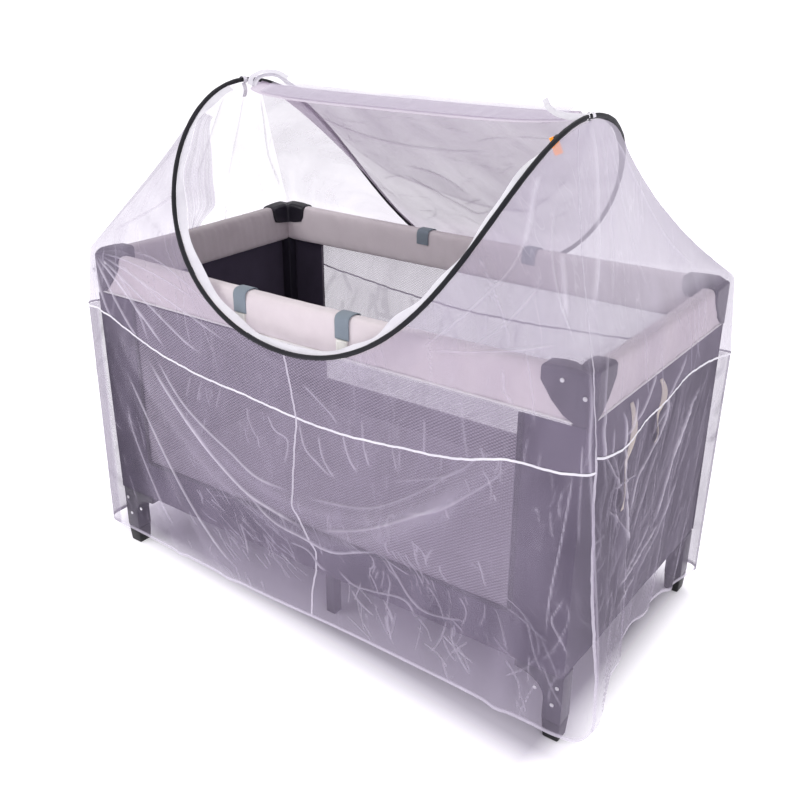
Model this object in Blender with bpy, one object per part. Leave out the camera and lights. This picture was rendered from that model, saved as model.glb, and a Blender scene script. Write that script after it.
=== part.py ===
"""A mosquito net with one sprung hoop, dropped over a folding travel cot.

The cot stands with its length along X and its front long side at -Y. The net runs from the
hoop over the top rails, down to a belt seam and on to the hem. Every panel of the net reads the
same four level curves, so neighbours meet along their seams.
"""

from collections import namedtuple
from math import cos, pi, radians, sin

import bmesh
import bpy
import numpy as np

# Cot sizes, in metres
COT_LENGTH = 1.25
COT_WIDTH = 0.66
CAP_TOP = 0.772
RAIL_TOP = 0.765
RAIL_BOTTOM = 0.671
RAIL_THICK = 0.036
CAP_BOTTOM = 0.673
RAIL_SAG = 0.020
END_RAIL_SAG = 0.008
CAP_REACH = 0.092
CAP_PROUD = 0.0035
WALL_THICK = 0.003
WINDOW_HALF = 0.50
BAND_TOP = 0.262
BAND_BOTTOM = 0.160
LEG_INSET = 0.0208
LEG_TUBE = 0.026
SHOE_TOP = 0.158
FOOT_TOP = 0.046
MATTRESS_TOP = 0.222
MATTRESS_THICK = 0.030
BASE_BAR = 0.022
MIDDLE_FOOT_Y = 0.247

# Net sizes, in metres
CLOTH = 0.002
SEAM_GAP = 0.0003
TAPE_WIDTH = 0.005
TAPE_THICK = 0.003
HOOP_RADIUS = 0.0055
RAIL_LIFT = 0.0055
END_SLACK = 0.0014
CORNER_ROUND = 0.030

# The hoop is a saddle: two high ends over the cot's ends, two low lobes outside its long rails
HOOP_HALF_LENGTH = 0.457
HOOP_LENGTH_PINCH = -0.024
HOOP_HALF_WIDTH = 0.409
HOOP_WIDTH_PINCH = 0.039
HOOP_MEAN_HEIGHT = 0.890
HOOP_LOBE = 0.221
HOOP_LOBE_SHARP = 0.011
HOOP_LEAN_X = -0.005
HOOP_LEAN_Y = 0.004
HOOP_STEP = 6
JOIN_FROM, JOIN_TO, JOIN_SWELL = 8, 30, 0.55

# How far each level curve stands from the cot's centre on its four sides
Reach = namedtuple("Reach", "left right front back")
RAIL_CLEAR = 0.0095
RAIL_REACH = Reach(*[size / 2 + RAIL_CLEAR for size in (COT_LENGTH, COT_LENGTH, COT_WIDTH, COT_WIDTH)])
BELT_REACH = Reach(0.657, 0.648, 0.346, 0.346)
HEM_REACH = Reach(0.668, 0.642, 0.348, 0.350)

# Heights along each side: the share of the side from its first corner, and the height there
FRONT_BELT = ((0, 0.642), (0.09, 0.633), (0.17, 0.584), (0.27, 0.556), (0.4, 0.540), (0.5, 0.528),
              (0.61, 0.526), (0.7, 0.538), (0.79, 0.551), (0.88, 0.585), (0.94, 0.588), (1, 0.606))
RIGHT_BELT = ((0, 0.634), (0.2, 0.612), (0.3, 0.626), (0.45, 0.630), (0.57, 0.645), (0.74, 0.638),
              (1, 0.605))
BACK_BELT = ((0, 0.605), (0.25, 0.575), (0.5, 0.560), (0.75, 0.580), (1, 0.620))
LEFT_BELT = ((0, 0.620), (0.3, 0.600), (0.6, 0.612), (1, 0.642))
FRONT_HEM = ((0, 0.062), (0.2, 0.054), (0.4, 0.046), (0.55, 0.050), (0.8, 0.046), (0.93, 0.040),
             (1, 0.030))
RIGHT_HEM = ((0, 0.030), (0.08, 0.065), (0.2, 0.100), (0.35, 0.095), (0.6, 0.085), (0.85, 0.070),
             (1, 0.052))
BACK_HEM = ((0, 0.052), (0.3, 0.060), (0.7, 0.050), (1, 0.060))
LEFT_HEM = ((0, 0.060), (0.4, 0.072), (0.7, 0.064), (1, 0.062))

# Which angle of the hoop leads to which share of the side below it
FRONT_FAN = ((-174, 0), (-156, 0.010), (-138, 0.035), (-126, 0.17), (-108, 0.335), (-90, 0.5),
             (-72, 0.665), (-54, 0.83), (-42, 0.950), (-24, 0.975), (-12, 0.989),
             (-6, 1))
RIGHT_FAN = ((-6, 0), (6, 1))
BACK_FAN = ((6, 0), (24, 0.015), (42, 0.045), (54, 0.17), (72, 0.335), (90, 0.5), (108, 0.665),
            (126, 0.83), (138, 0.965), (156, 0.990), (174, 1))
LEFT_FAN = ((174, 0), (186, 1))

Side = namedtuple("Side", "belt hem fan corners")
SIDES = {
    "front": Side(FRONT_BELT, FRONT_HEM, FRONT_FAN, ((-1, -1), (1, -1))),
    "right": Side(RIGHT_BELT, RIGHT_HEM, RIGHT_FAN, ((1, -1), (1, 1))),
    "back": Side(BACK_BELT, BACK_HEM, BACK_FAN, ((1, 1), (-1, 1))),
    "left": Side(LEFT_BELT, LEFT_HEM, LEFT_FAN, ((-1, 1), (-1, -1))),
}

# Swags: the cloth hangs from the front caps in deep curves, each from x0, z0 to x1, z1
Swag = namedtuple("Swag", "x0 z0 x1 z1 drop rise width")
SWAGS = (
    Swag(-0.600, 0.720, 0.460, 0.550, 0.300, 0.010, 0.022),
    Swag(-0.600, 0.700, 0.530, 0.660, 0.418, 0.013, 0.026),
    Swag(-0.605, 0.700, -0.200, 0.040, 0.090, 0.010, 0.022),
    Swag(-0.600, 0.620, -0.370, 0.040, 0.085, 0.007, 0.018),
)
# Upright folds below the rails: the side, the share along it, lean towards the hem, rise, width
Fold = namedtuple("Fold", "side share lean rise width")
FOLDS = (
    Fold("front", 0.90, -0.020, 0.006, 0.018),
    Fold("right", 0.16, 0.050, 0.010, 0.024),
    Fold("right", 0.36, 0.060, 0.008, 0.022),
    Fold("right", 0.55, -0.060, 0.009, 0.026),
    Fold("right", 0.78, -0.080, 0.010, 0.024),
    Fold("back", 0.18, 0.060, 0.010, 0.040),
    Fold("back", 0.45, -0.040, 0.009, 0.045),
    Fold("back", 0.80, -0.060, 0.010, 0.040),
    Fold("left", 0.15, 0.050, 0.009, 0.030),
    Fold("left", 0.50, 0.000, 0.008, 0.035),
    Fold("left", 0.85, -0.060, 0.007, 0.026),
)
# The front right corner stands off as an upright flange: height, reach
FLANGE = ((0.000, 0.040), (0.050, 0.040), (0.120, 0.048), (0.230, 0.045), (0.320, 0.036),
          (0.400, 0.026), (0.560, 0.010), (0.680, 0.008), (0.770, 0.000))
FLANGE_WIDTH_FRONT, FLANGE_WIDTH_RIGHT = 0.075, 0.150
# The middle seam of the front wanders: height, shift along X
SEAM_DRIFT = ((0.03, 0.034), (0.13, 0.040), (0.19, 0.050), (0.266, 0.038), (0.30, 0.003),
              (0.35, -0.009), (0.45, -0.004), (0.53, 0.003), (0.60, -0.010), (0.70, -0.014))
DRIFT_WIDTH = 0.150
# How far the net sags between hoop and rail: the hoop's angle, depth
SAG = ((-180, 0.006), (-140, 0.004), (-90, 0), (-50, 0.006), (-25, 0.016), (0, 0.020), (25, 0.034),
       (50, 0.014), (90, 0), (140, 0.004), (180, 0.006))

# Roof strip and the panels that hang from it
INSIDE = np.array((0, -0.05, 0.95))
ROOF_HALF = 0.050
ROOF_HEIGHT = 1.104
ROOF_SHARE = 0.22
RAIL_SHARE = 0.90
ROOF_SAG = 0.010
ROOF_PINCH = 0.080
ROOF_END_RISE = 0.014
DOOR_GAP = 0.008
DOOR_SEAT = CLOTH + 0.0007
DOOR_BEND = 0.25
DOOR_DEPTH = ((24, 0.20), (36, 0.42), (54, 0.56), (78, 0.66), (96, 0.62), (114, 0.48), (132, 0.36),
              (144, 0.22))
DOOR_RIPPLE = 0.004
GATHER_FROM, GATHER_TO = -162, -132
GATHER_WIDTH = 0.058
GATHER_GAP = 0.0008
TAPE_FROM, TAPE_TO = -174, -12
SLIDER_LENGTH, SLIDER_WIDTH, SLIDER_THICK = 0.010, 0.008, 0.006
PULLER_LENGTH, PULLER_WIDTH = 0.032, 0.010
TIE_HALF_WIDTH = 0.006
TIE_START, TIE_END = 190, -92
TIE_ROUND = 0.55
TIE_LENGTH = 0.030


def paint(name, colour, rough, metal=0.0, alpha=1.0):
    made = bpy.data.materials.new(name)
    made.use_nodes = True
    shader = made.node_tree.nodes["Principled BSDF"]
    shader.inputs["Base Color"].default_value = (*colour, 1)
    shader.inputs["Roughness"].default_value = rough
    shader.inputs["Metallic"].default_value = metal
    shader.inputs["Alpha"].default_value = alpha
    made.diffuse_color = (*colour, alpha)
    return made


def look_up(rows, at):
    """A smooth curve through a table of two columns."""
    keys = [row[0] for row in rows]
    values = [row[1] for row in rows]
    if at <= keys[0]:
        return values[0]
    if at >= keys[-1]:
        return values[-1]
    i = int(np.searchsorted(keys, at, side="right")) - 1
    share = (at - keys[i]) / (keys[i + 1] - keys[i])
    slopes = np.gradient(values, keys)
    step = keys[i + 1] - keys[i]
    a, b = values[i], values[i + 1]
    h = share * share * (3 - 2 * share)
    bend = share * (1 - share)
    return a + (b - a) * h + step * bend * ((1 - share) * slopes[i] - share * slopes[i + 1])


def straight(rows, at):
    return float(np.interp(at, [row[0] for row in rows], [row[1] for row in rows]))


def unit(vector):
    return vector / np.linalg.norm(vector)


def smooth(low, high, value):
    share = min(max((value - low) / (high - low), 0), 1)
    return share * share * (3 - 2 * share)


def hoop_at(angle):
    a = radians(angle)
    return np.array((
        -0.003 + HOOP_HALF_LENGTH * cos(a) + HOOP_LENGTH_PINCH * cos(3 * a),
        -0.001 + HOOP_HALF_WIDTH * sin(a) + HOOP_WIDTH_PINCH * sin(3 * a),
        HOOP_MEAN_HEIGHT + HOOP_LOBE * cos(2 * a) + HOOP_LOBE_SHARP * cos(4 * a)
        + HOOP_LEAN_X * cos(a) + HOOP_LEAN_Y * sin(a),
    ))


def hoop_radius(angle):
    """The binding is wider where the wire's ends are joined."""
    along = (angle + 180) % 360 - 180
    swell = smooth(JOIN_FROM - 6, JOIN_FROM + 6, along) * smooth(JOIN_TO + 6, JOIN_TO - 6, along)
    return HOOP_RADIUS * (1 + JOIN_SWELL * swell)


def off_hoop(angle, towards, distance=SEAM_GAP):
    """A point just off the binding, square to the wire and facing another point."""
    centre = hoop_at(angle)
    along = unit(hoop_at(angle + 1) - hoop_at(angle - 1))
    lead = towards - centre
    side = unit(lead - along * (lead @ along))
    return centre + side * (hoop_radius(angle) + distance), side


def rail_top(side, share):
    sag = RAIL_SAG if side in ("front", "back") else END_RAIL_SAG
    middle = 1 - (2 * share - 1) ** 2
    return RAIL_TOP - sag * middle + (CAP_TOP - RAIL_TOP) * (1 - smooth(0, 0.5, middle))


def ring(side, share, reach):
    """A point in plan on a rounded rectangle, and the way out from it."""
    first, last = SIDES[side].corners
    lows = np.array((-reach.left, -reach.front))
    highs = np.array((reach.right, reach.back))
    pick = [np.where(np.array(c) < 0, lows, highs) for c in (first, last)]
    flat = pick[0] + (pick[1] - pick[0]) * share
    core = np.clip(flat, lows + CORNER_ROUND, highs - CORNER_ROUND)
    out = unit(flat - core)
    return core + out * CORNER_ROUND, out


def level(side, share, reach, height):
    flat, out = ring(side, share, reach)
    return np.array((*flat, height)), np.array((*out, 0))


def distance_to_flange(side, share):
    if side == "front":
        return (1 - share) * 2 * BELT_REACH.right / FLANGE_WIDTH_FRONT
    if side == "right":
        return share * 2 * BELT_REACH.front / FLANGE_WIDTH_RIGHT
    return 9


def fold_rise(side, share, place):
    """How far the folds lift the cloth off its plain hang at a place on the skirt."""
    rise = 0
    if side == "front":
        for swag in SWAGS:
            along = (place[0] - swag.x0) / (swag.x1 - swag.x0)
            if 0 < along < 1:
                height = swag.z0 + (swag.z1 - swag.z0) * along - 4 * swag.drop * along * (1 - along)
                slope = (swag.z1 - swag.z0 - 4 * swag.drop * (1 - 2 * along)) / (swag.x1 - swag.x0)
                away = (place[2] - height) / np.hypot(1, slope)
                fade = smooth(0, 0.1, along) * smooth(1, 0.85, along)
                rise += swag.rise * fade * np.exp(-((away / swag.width) ** 2))
    length = COT_LENGTH if side in ("front", "back") else COT_WIDTH
    down = (RAIL_BOTTOM - place[2]) / RAIL_BOTTOM
    for fold in FOLDS:
        if fold.side == side:
            away = (share - fold.share) * length - fold.lean * down
            rise += fold.rise * smooth(0, 0.5, down) * np.exp(-((away / fold.width) ** 2))
    return rise


def dressed(side, share, place, out):
    """Folds, the corner flange and the seam's drift, laid on the plain hang."""
    place = place + out * fold_rise(side, share, place)
    near = np.exp(-(distance_to_flange(side, share) ** 1.6))
    place = place + np.array((1, -0.2, 0)) * straight(FLANGE, place[2]) * near
    if side == "front":
        hold = np.exp(-((place[0] / DRIFT_WIDTH) ** 2))
        place = place + np.array((look_up(SEAM_DRIFT, place[2]) * hold, 0, 0))
    return place


def share_of(side, angle):
    return straight(SIDES[side].fan, angle)


def levels_at(side, angle):
    """Hoop, rail, belt and hem points below one angle of the hoop."""
    share = share_of(side, angle)
    belt, belt_out = level(side, share, BELT_REACH, look_up(SIDES[side].belt, share))
    hem, hem_out = level(side, share, HEM_REACH, look_up(SIDES[side].hem, share))
    rail, _ = level(side, share, RAIL_REACH, rail_top(side, share) + RAIL_LIFT)
    wire = hoop_at(angle)
    above = smooth(0.79, 0.86, wire[2])
    rail = rail * above + (wire + 0.3 * (belt - wire)) * (1 - above)
    slack = END_SLACK * smooth(0.980, 0.994, abs(cos(radians(angle))))
    top, _ = off_hoop(angle, rail, SEAM_GAP + slack)
    belt = dressed(side, share, belt, belt_out)
    hem = dressed(side, share, hem, hem_out)
    return top, rail, belt, hem, belt_out


def upper_at(side, angle, t):
    """The upper panel: t is 0 at the hoop, 1 at the rail and 2 at the belt."""
    top, rail, belt, _, _ = levels_at(side, angle)
    if t <= 1:
        place = top + (rail - top) * t
        depth = straight(SAG, (angle + 180) % 360 - 180) * 4 * t * (1 - t)
        lead = unit(place * np.array((1 / COT_LENGTH, 1 / COT_WIDTH, 0)))
        return place - unit(lead + np.array((0, 0, 1.6))) * depth
    end = belt + unit(rail - belt) * (TAPE_WIDTH / 2 + SEAM_GAP)
    place = rail + (end - rail) * (t - 1)
    return place


def skirt_at(side, angle, t):
    """The skirt: t is 0 at the belt and 1 at the hem."""
    _, _, belt, hem, out = levels_at(side, angle)
    share = share_of(side, angle)
    start, _ = level(side, share, BELT_REACH, look_up(SIDES[side].belt, share))
    finish, _ = level(side, share, HEM_REACH, look_up(SIDES[side].hem, share))
    plain = start + (finish - start) * t
    place = dressed(side, share, plain, out)
    return place + unit(hem - belt) * (TAPE_WIDTH / 2 + SEAM_GAP) * (1 - t)


def belt_at(side, angle, t):
    """The belt tape, from its upper edge to its lower one."""
    _, rail, belt, hem, _ = levels_at(side, angle)
    way = unit(rail - belt) if t < 0.5 else unit(hem - belt)
    return belt + way * TAPE_WIDTH / 2 * abs(1 - 2 * t)


def roof_at(angle, t):
    """Roof strip, then back panel down to the hoop's back lobe; t is 0 at the strip's front edge."""
    wire = hoop_at(angle)
    along = wire[0] / HOOP_HALF_LENGTH
    narrow = 1 - abs(along) ** 5
    across = wire[0] * (1 - ROOF_PINCH * along**4)
    rise = ROOF_END_RISE * along**4
    front = np.array((across, -ROOF_HALF * narrow, ROOF_HEIGHT - 0.006 + rise))
    back = np.array((across, ROOF_HALF * narrow, ROOF_HEIGHT + 0.008 + rise))
    share = (COT_LENGTH / 2 - wire[0]) / COT_LENGTH
    over = np.array((wire[0], COT_WIDTH / 2 + 0.006, rail_top("back", share) + RAIL_LIFT))
    above = smooth(0.715, 0.750, wire[2])
    beside, _ = off_hoop(angle, back)
    over = over * (1 - above) + (back + (beside - back) * RAIL_SHARE) * above
    end = beside * above + off_hoop(angle, over)[0] * (1 - above)
    if t < ROOF_SHARE:
        return front + (back - front) * t / ROOF_SHARE
    if t > RAIL_SHARE:
        return over + (end - over) * (t - RAIL_SHARE) / (1 - RAIL_SHARE)
    down = (t - ROOF_SHARE) / (RAIL_SHARE - ROOF_SHARE)
    sag = ROOF_SAG * sin(pi * down)
    return back + (over - back) * down - np.array((0, 0.5, 0.8)) * sag


def door_at(angle, t):
    """The thrown back door lies on the roof and hangs behind the back panel."""
    depth = ROOF_SHARE + look_up(DOOR_DEPTH, angle) * (1 - ROOF_SHARE)
    at = float(np.interp(t, (0, DOOR_BEND, 1), (0.03, ROOF_SHARE, depth)))
    here = roof_at(angle, at)
    across = roof_at(angle + 1, at) - roof_at(angle - 1, at)
    down = roof_at(angle, at + 0.08) - roof_at(angle, max(at - 0.08, 0))
    out = unit(np.cross(down, across))
    ripple = DOOR_RIPPLE * (1 + sin(radians(angle * 9) + 5 * t)) * smooth(0.1, 0.6, t)
    lift = DOOR_SEAT + (DOOR_GAP - DOOR_SEAT) * smooth(0, DOOR_BEND, t)
    return here + out * (lift + ripple)


def tape_at(angle, t):
    """The zip tape stands inwards off the front lobe and waves a little."""
    start, side = off_hoop(angle, INSIDE)
    along = unit(hoop_at(angle + 1) - hoop_at(angle - 1))
    width = 0.013 + 0.004 * sin(radians(angle * 5)) * smooth(-174, -150, angle)
    wave = 0.003 * sin(radians(angle * 11)) * t
    return start + side * width * t + np.cross(along, side) * wave


def gather_at(angle, t):
    """The loose left strip of the door, hanging in pleats from the zip tape's edge."""
    _, side = off_hoop(angle, INSIDE)
    along = unit(hoop_at(angle + 1) - hoop_at(angle - 1))
    start = tape_at(angle, 1) + side * GATHER_GAP
    pleat = 0.006 * sin(3 * pi * t) * smooth(0, 0.2, t)
    pleat *= smooth(GATHER_FROM - 8, GATHER_FROM + 14, angle)
    width = GATHER_WIDTH * (0.35 + 0.65 * smooth(GATHER_FROM - 4, GATHER_FROM + 20, angle))
    return start + side * width * t + np.cross(side, along) * (pleat + 0.004 * smooth(0, 0.3, t))


def mesh_object(name, bm, material):
    mesh = bpy.data.meshes.new(name)
    bm.to_mesh(mesh)
    bm.free()
    mesh.materials.append(material)
    made = bpy.data.objects.new(name, mesh)
    bpy.context.scene.collection.objects.link(made)
    return made


def level_facing(side):
    """Skirt and belt get their thickness square to the side, so that they meet without a twist."""

    def facing(angle, _, out):
        return np.array((*ring(side, share_of(side, angle), BELT_REACH)[1], 0))

    return facing


def upper_facing(side):
    """An upper panel turns into its neighbour's direction at its corners and at the belt."""

    def facing(angle, t, out):
        share = share_of(side, angle)
        flat = np.array((*ring(side, share, BELT_REACH)[1], 0))
        corner = unit(flat * 0.8 + np.array((0, 0, 0.55)) * (1 - smooth(0.9, 1.3, t)))
        at_corner = smooth(0.012, 0, min(share, 1 - share))
        turned = unit(out * (1 - at_corner) + corner * at_corner)
        at_belt = smooth(1.1, 2, t)
        return unit(turned * (1 - at_belt) + flat * at_belt)

    return facing


def cloth(name, surface, columns, rows, material, thick=CLOTH, facing=None, margins=(0, 0)):
    """A closed thin sheet on both sides of a surface, so that neighbours share its edges.

    The margins draw the first and the last column back from a seam by a real distance.
    """
    small = 1e-3
    bm = bmesh.new()
    faces = ([], [])
    for c in columns:
        layers = ([], [])
        for r in rows:
            here = surface(c, r)
            span = (columns[-1] - columns[0]) * small
            across = surface(c + span, r) - surface(c - span, r)
            low = max(r - small, rows[0])
            high = min(r + small, rows[-1])
            down = surface(c, high) - surface(c, low)
            out = unit(np.cross(down, across))
            if facing:
                out = facing(c, r, out)
            if c == columns[0]:
                here = here + unit(surface(columns[1], r) - here) * margins[0]
            if c == columns[-1]:
                here = here + unit(surface(columns[-2], r) - here) * margins[1]
            layers[0].append(bm.verts.new(here + out * thick / 2))
            layers[1].append(bm.verts.new(here - out * thick / 2))
        faces[0].append(layers[0])
        faces[1].append(layers[1])
    last_c = len(columns) - 1
    last_r = len(rows) - 1
    for i in range(last_c):
        for j in range(last_r):
            for k, grid in enumerate(faces):
                loop = [grid[i][j], grid[i][j + 1], grid[i + 1][j + 1], grid[i + 1][j]]
                bm.faces.new(loop if k else loop[::-1])
    rim = [(i, 0) for i in range(last_c)] + [(last_c, j) for j in range(last_r)]
    rim += [(i, last_r) for i in range(last_c, 0, -1)] + [(0, j) for j in range(last_r, 0, -1)]
    for (i, j), (k, m) in zip(rim, rim[1:] + rim[:1]):
        bm.faces.new([faces[0][i][j], faces[0][k][m], faces[1][k][m], faces[1][i][j]])
    bmesh.ops.recalc_face_normals(bm, faces=bm.faces)
    made = mesh_object(name, bm, material)
    made.data.shade_smooth()
    made.data.set_sharp_from_angle(angle=radians(50))
    return made


def lofted(name, sections, material):
    """One closed body through a row of outlines with equal counts, with flat ends."""
    bm = bmesh.new()
    loops = [[bm.verts.new(point) for point in section] for section in sections]
    for a, b in zip(loops, loops[1:]):
        for i in range(len(a)):
            j = (i + 1) % len(a)
            bm.faces.new((a[i], a[j], b[j], b[i]))
    bm.faces.new(loops[0])
    bm.faces.new(loops[-1])
    bmesh.ops.recalc_face_normals(bm, faces=bm.faces)
    made = mesh_object(name, bm, material)
    made.data.shade_smooth()
    made.data.set_sharp_from_angle(angle=radians(40))
    return made


def block(name, low, high, material, bevel=0.0):
    """A box between two corners, with its edges bevelled."""
    bm = bmesh.new()
    bmesh.ops.create_cube(bm, size=1)
    size = np.subtract(high, low)
    bmesh.ops.scale(bm, vec=size, verts=bm.verts)
    made = mesh_object(name, bm, material)
    made.location = (np.add(low, high) / 2).tolist()
    if bevel:
        edge = made.modifiers.new("Bevel", "BEVEL")
        edge.width = bevel
        edge.segments = 1
    return made


def spread(first, last, count):
    return [first + (last - first) * i / count for i in range(count + 1)]


def make_hoop(material):
    curve = bpy.data.curves.new("net_hoop", "CURVE")
    curve.dimensions = "3D"
    curve.bevel_depth = HOOP_RADIUS
    curve.bevel_resolution = 2
    spline = curve.splines.new("POLY")
    angles = range(0, 360, HOOP_STEP)
    spline.points.add(len(angles) - 1)
    for point, angle in zip(spline.points, angles):
        point.co = (*hoop_at(angle), 1)
        point.radius = hoop_radius(angle) / HOOP_RADIUS
    spline.use_cyclic_u = True
    curve.materials.append(material)
    made = bpy.data.objects.new("net_hoop", curve)
    bpy.context.scene.collection.objects.link(made)


UPPER_ROWS = [0, 0.25, 0.5, 0.75, 0.94, 1.06, 1.4, 2]
FRONT_ROWS = spread(0, 1, 18)
BESIDE_TAPE = TAPE_WIDTH / 2 + SEAM_GAP
BESIDE_CORNER_TAPE = 0.0044
BESIDE_CLOTH = SEAM_GAP / 2


def make_net(sheer, tape):
    """Upper panels, skirts and belts of the four sides."""
    corner = list(range(-174, -138, 6))
    along = list(range(-138, -89, 3))
    left_half = corner + along
    right_half = [-180 - angle for angle in left_half[::-1]]
    crowded = corner[1::2]
    panels = (
        ("front_left", "front", left_half, FRONT_ROWS, (BESIDE_CLOTH, BESIDE_TAPE)),
        ("front_right", "front", right_half, FRONT_ROWS, (BESIDE_TAPE, BESIDE_CORNER_TAPE)),
        ("right", "right", spread(-6, 6, 16), FRONT_ROWS, (BESIDE_CORNER_TAPE, BESIDE_CLOTH)),
        ("back", "back", list(range(6, 175, 6)), spread(0, 1, 7), (BESIDE_CLOTH, BESIDE_CLOTH)),
        ("left", "left", spread(174, 186, 12), spread(0, 1, 7), (BESIDE_CLOTH, BESIDE_CLOTH)),
    )
    for name, side, columns, rows, margins in panels:
        flat = level_facing(side)
        cloth("net_upper_" + name, lambda a, t: upper_at(side, a, t), columns, UPPER_ROWS, sheer,
              facing=upper_facing(side), margins=margins)
        skirt_columns = [angle for angle in columns if side != "front" or angle not in crowded]
        cloth("net_skirt_" + name, lambda a, t: skirt_at(side, a, t), skirt_columns, rows, sheer,
              facing=flat, margins=margins)
        cloth("belt_" + name, lambda a, t: belt_at(side, a, t), columns, [0, 1], tape, TAPE_THICK,
              flat, margins)


def make_seams(tape):
    """Two seam tapes run from the hoop to the hem, with the cut edges of the panels beside them."""
    rows = [0.008] + UPPER_ROWS[1:] + [2 + row for row in FRONT_ROWS]

    def drop_at(side, angle, row):
        return upper_at(side, angle, row) if row <= 2 else skirt_at(side, angle, row - 2)

    def middle(across, row):
        centre = drop_at("front", -90, row)
        return centre + np.array((1, 0, 0)) * across * TAPE_WIDTH / 2

    def corner(across, row):
        centre = (drop_at("front", -6, row) + drop_at("right", -6, row)) / 2
        return centre + unit(np.array((1, 1, 0))) * across * TAPE_WIDTH / 2

    rows[len(UPPER_ROWS)] += 1e-6
    for name, line, side, angle in (
        ("seam_centre", middle, "front", -90), ("seam_corner", corner, "front", -6)
    ):
        turn = upper_facing(side)
        cloth(name, line, [-1, 1], rows, tape, TAPE_THICK,
              lambda across, row, out: turn(angle, min(row, 2), out))


def make_canopy_trim(sheer, tape, orange, dark):
    steps = [float(a) for a in range(6, 175, 6)]
    cloth("net_roof", roof_at, steps, [0, 0.11, 0.2, 0.25, 0.36, 0.5, 0.66, 0.82, 0.9, 1], sheer)
    cloth("net_door", door_at, spread(24, 144, 20),
          [0, 0.12, 0.2, 0.25, 0.3, 0.4, 0.55, 0.7, 0.85, 1], sheer)
    cloth("net_door_gather", gather_at, spread(GATHER_FROM, GATHER_TO, 5), spread(0, 1, 9), sheer)
    cloth("net_zip_tape", tape_at, spread(TAPE_FROM, TAPE_TO, 27), [0, 0.5, 1], tape)
    for name, angle, turn in (("tie_left", 180, 1), ("tie_right", 0, -1)):
        cloth(name, lambda a, t: tie_at(angle, turn, a, t), spread(-1, 1, 2),
              spread(0, TIE_ROUND, 9) + [0.65, 0.8, 1], tape)
    cloth("net_zip_puller", puller_at, [-1, 1], spread(0, 1, 3), orange)
    cloth("net_zip_slider", slider_at, [-1, 1], [0, 1], dark, SLIDER_THICK)


def tie_at(angle, turn, across, t):
    """A tie tape: from the outside up over the binding, down inside it and out to a free end."""
    wire = hoop_at(angle)
    along = unit(hoop_at(angle + 1) - hoop_at(angle - 1))
    inward = np.array((turn, 0, 0))
    up = np.array((0, 0, 1))
    a = radians(TIE_START + (TIE_END - TIE_START) * min(t / TIE_ROUND, 1))
    place = wire + along * across * TIE_HALF_WIDTH
    place = place + (hoop_radius(angle) + 0.0022) * (inward * cos(a) + up * sin(a))
    reach = max(t - TIE_ROUND, 0) / (1 - TIE_ROUND)
    return place - up * TIE_LENGTH * reach + inward * 0.005 * sin(pi * reach)


def slider_at(across, t):
    """The slider, on the end of the zip tape."""
    along = unit(hoop_at(TAPE_TO + 1) - hoop_at(TAPE_TO - 1))
    _, side = off_hoop(TAPE_TO, INSIDE)
    middle = (tape_at(TAPE_TO, 0) + tape_at(TAPE_TO, 1)) / 2
    return middle + along * (SEAM_GAP + SLIDER_LENGTH * t) + side * across * SLIDER_WIDTH / 2


def puller_at(across, t):
    """The puller tab hangs from the slider, just inside the front lobe."""
    along = unit(hoop_at(TAPE_TO + 1) - hoop_at(TAPE_TO - 1))
    _, side = off_hoop(TAPE_TO, INSIDE)
    start = slider_at(1, 0.8) + side * (CLOTH / 2 + 2 * SEAM_GAP)
    drop = np.array((0.15, 0.10, -0.95)) * PULLER_LENGTH * t
    return start + drop + along * across * PULLER_WIDTH / 2


def rail_outline(along, axis, outer, top, inward):
    """Upright rounded section of a padded rail at one place along it."""
    w = RAIL_THICK / 2
    h = (top - RAIL_BOTTOM) / 2
    mid = (top + RAIL_BOTTOM) / 2
    points = []
    for i in range(10):
        a = 2 * pi * (i + 0.5) / 10
        u = w * np.sign(cos(a)) * abs(cos(a)) ** 0.45
        v = h * np.sign(sin(a)) * abs(sin(a)) ** 0.45
        cross = outer + inward * (w + u)
        points.append((along, cross, mid + v) if axis == "x" else (cross, along, mid + v))
    return points


def make_rails(pad):
    half_x = COT_LENGTH / 2 - CAP_REACH - SEAM_GAP
    half_y = COT_WIDTH / 2 - CAP_REACH - SEAM_GAP
    rows = (
        ("front", "x", half_x, -COT_WIDTH / 2, 1, RAIL_SAG),
        ("back", "x", half_x, COT_WIDTH / 2, -1, RAIL_SAG),
        ("left", "y", half_y, -COT_LENGTH / 2, 1, END_RAIL_SAG),
        ("right", "y", half_y, COT_LENGTH / 2, -1, END_RAIL_SAG),
    )
    for name, axis, half, outer, inward, sag in rows:
        sections = []
        for share in spread(-1, 1, 8):
            top = RAIL_TOP - sag * (1 - share**2)
            sections.append(rail_outline(share * half, axis, outer, top, inward))
        lofted("cot_rail_" + name, sections, pad)


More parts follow.
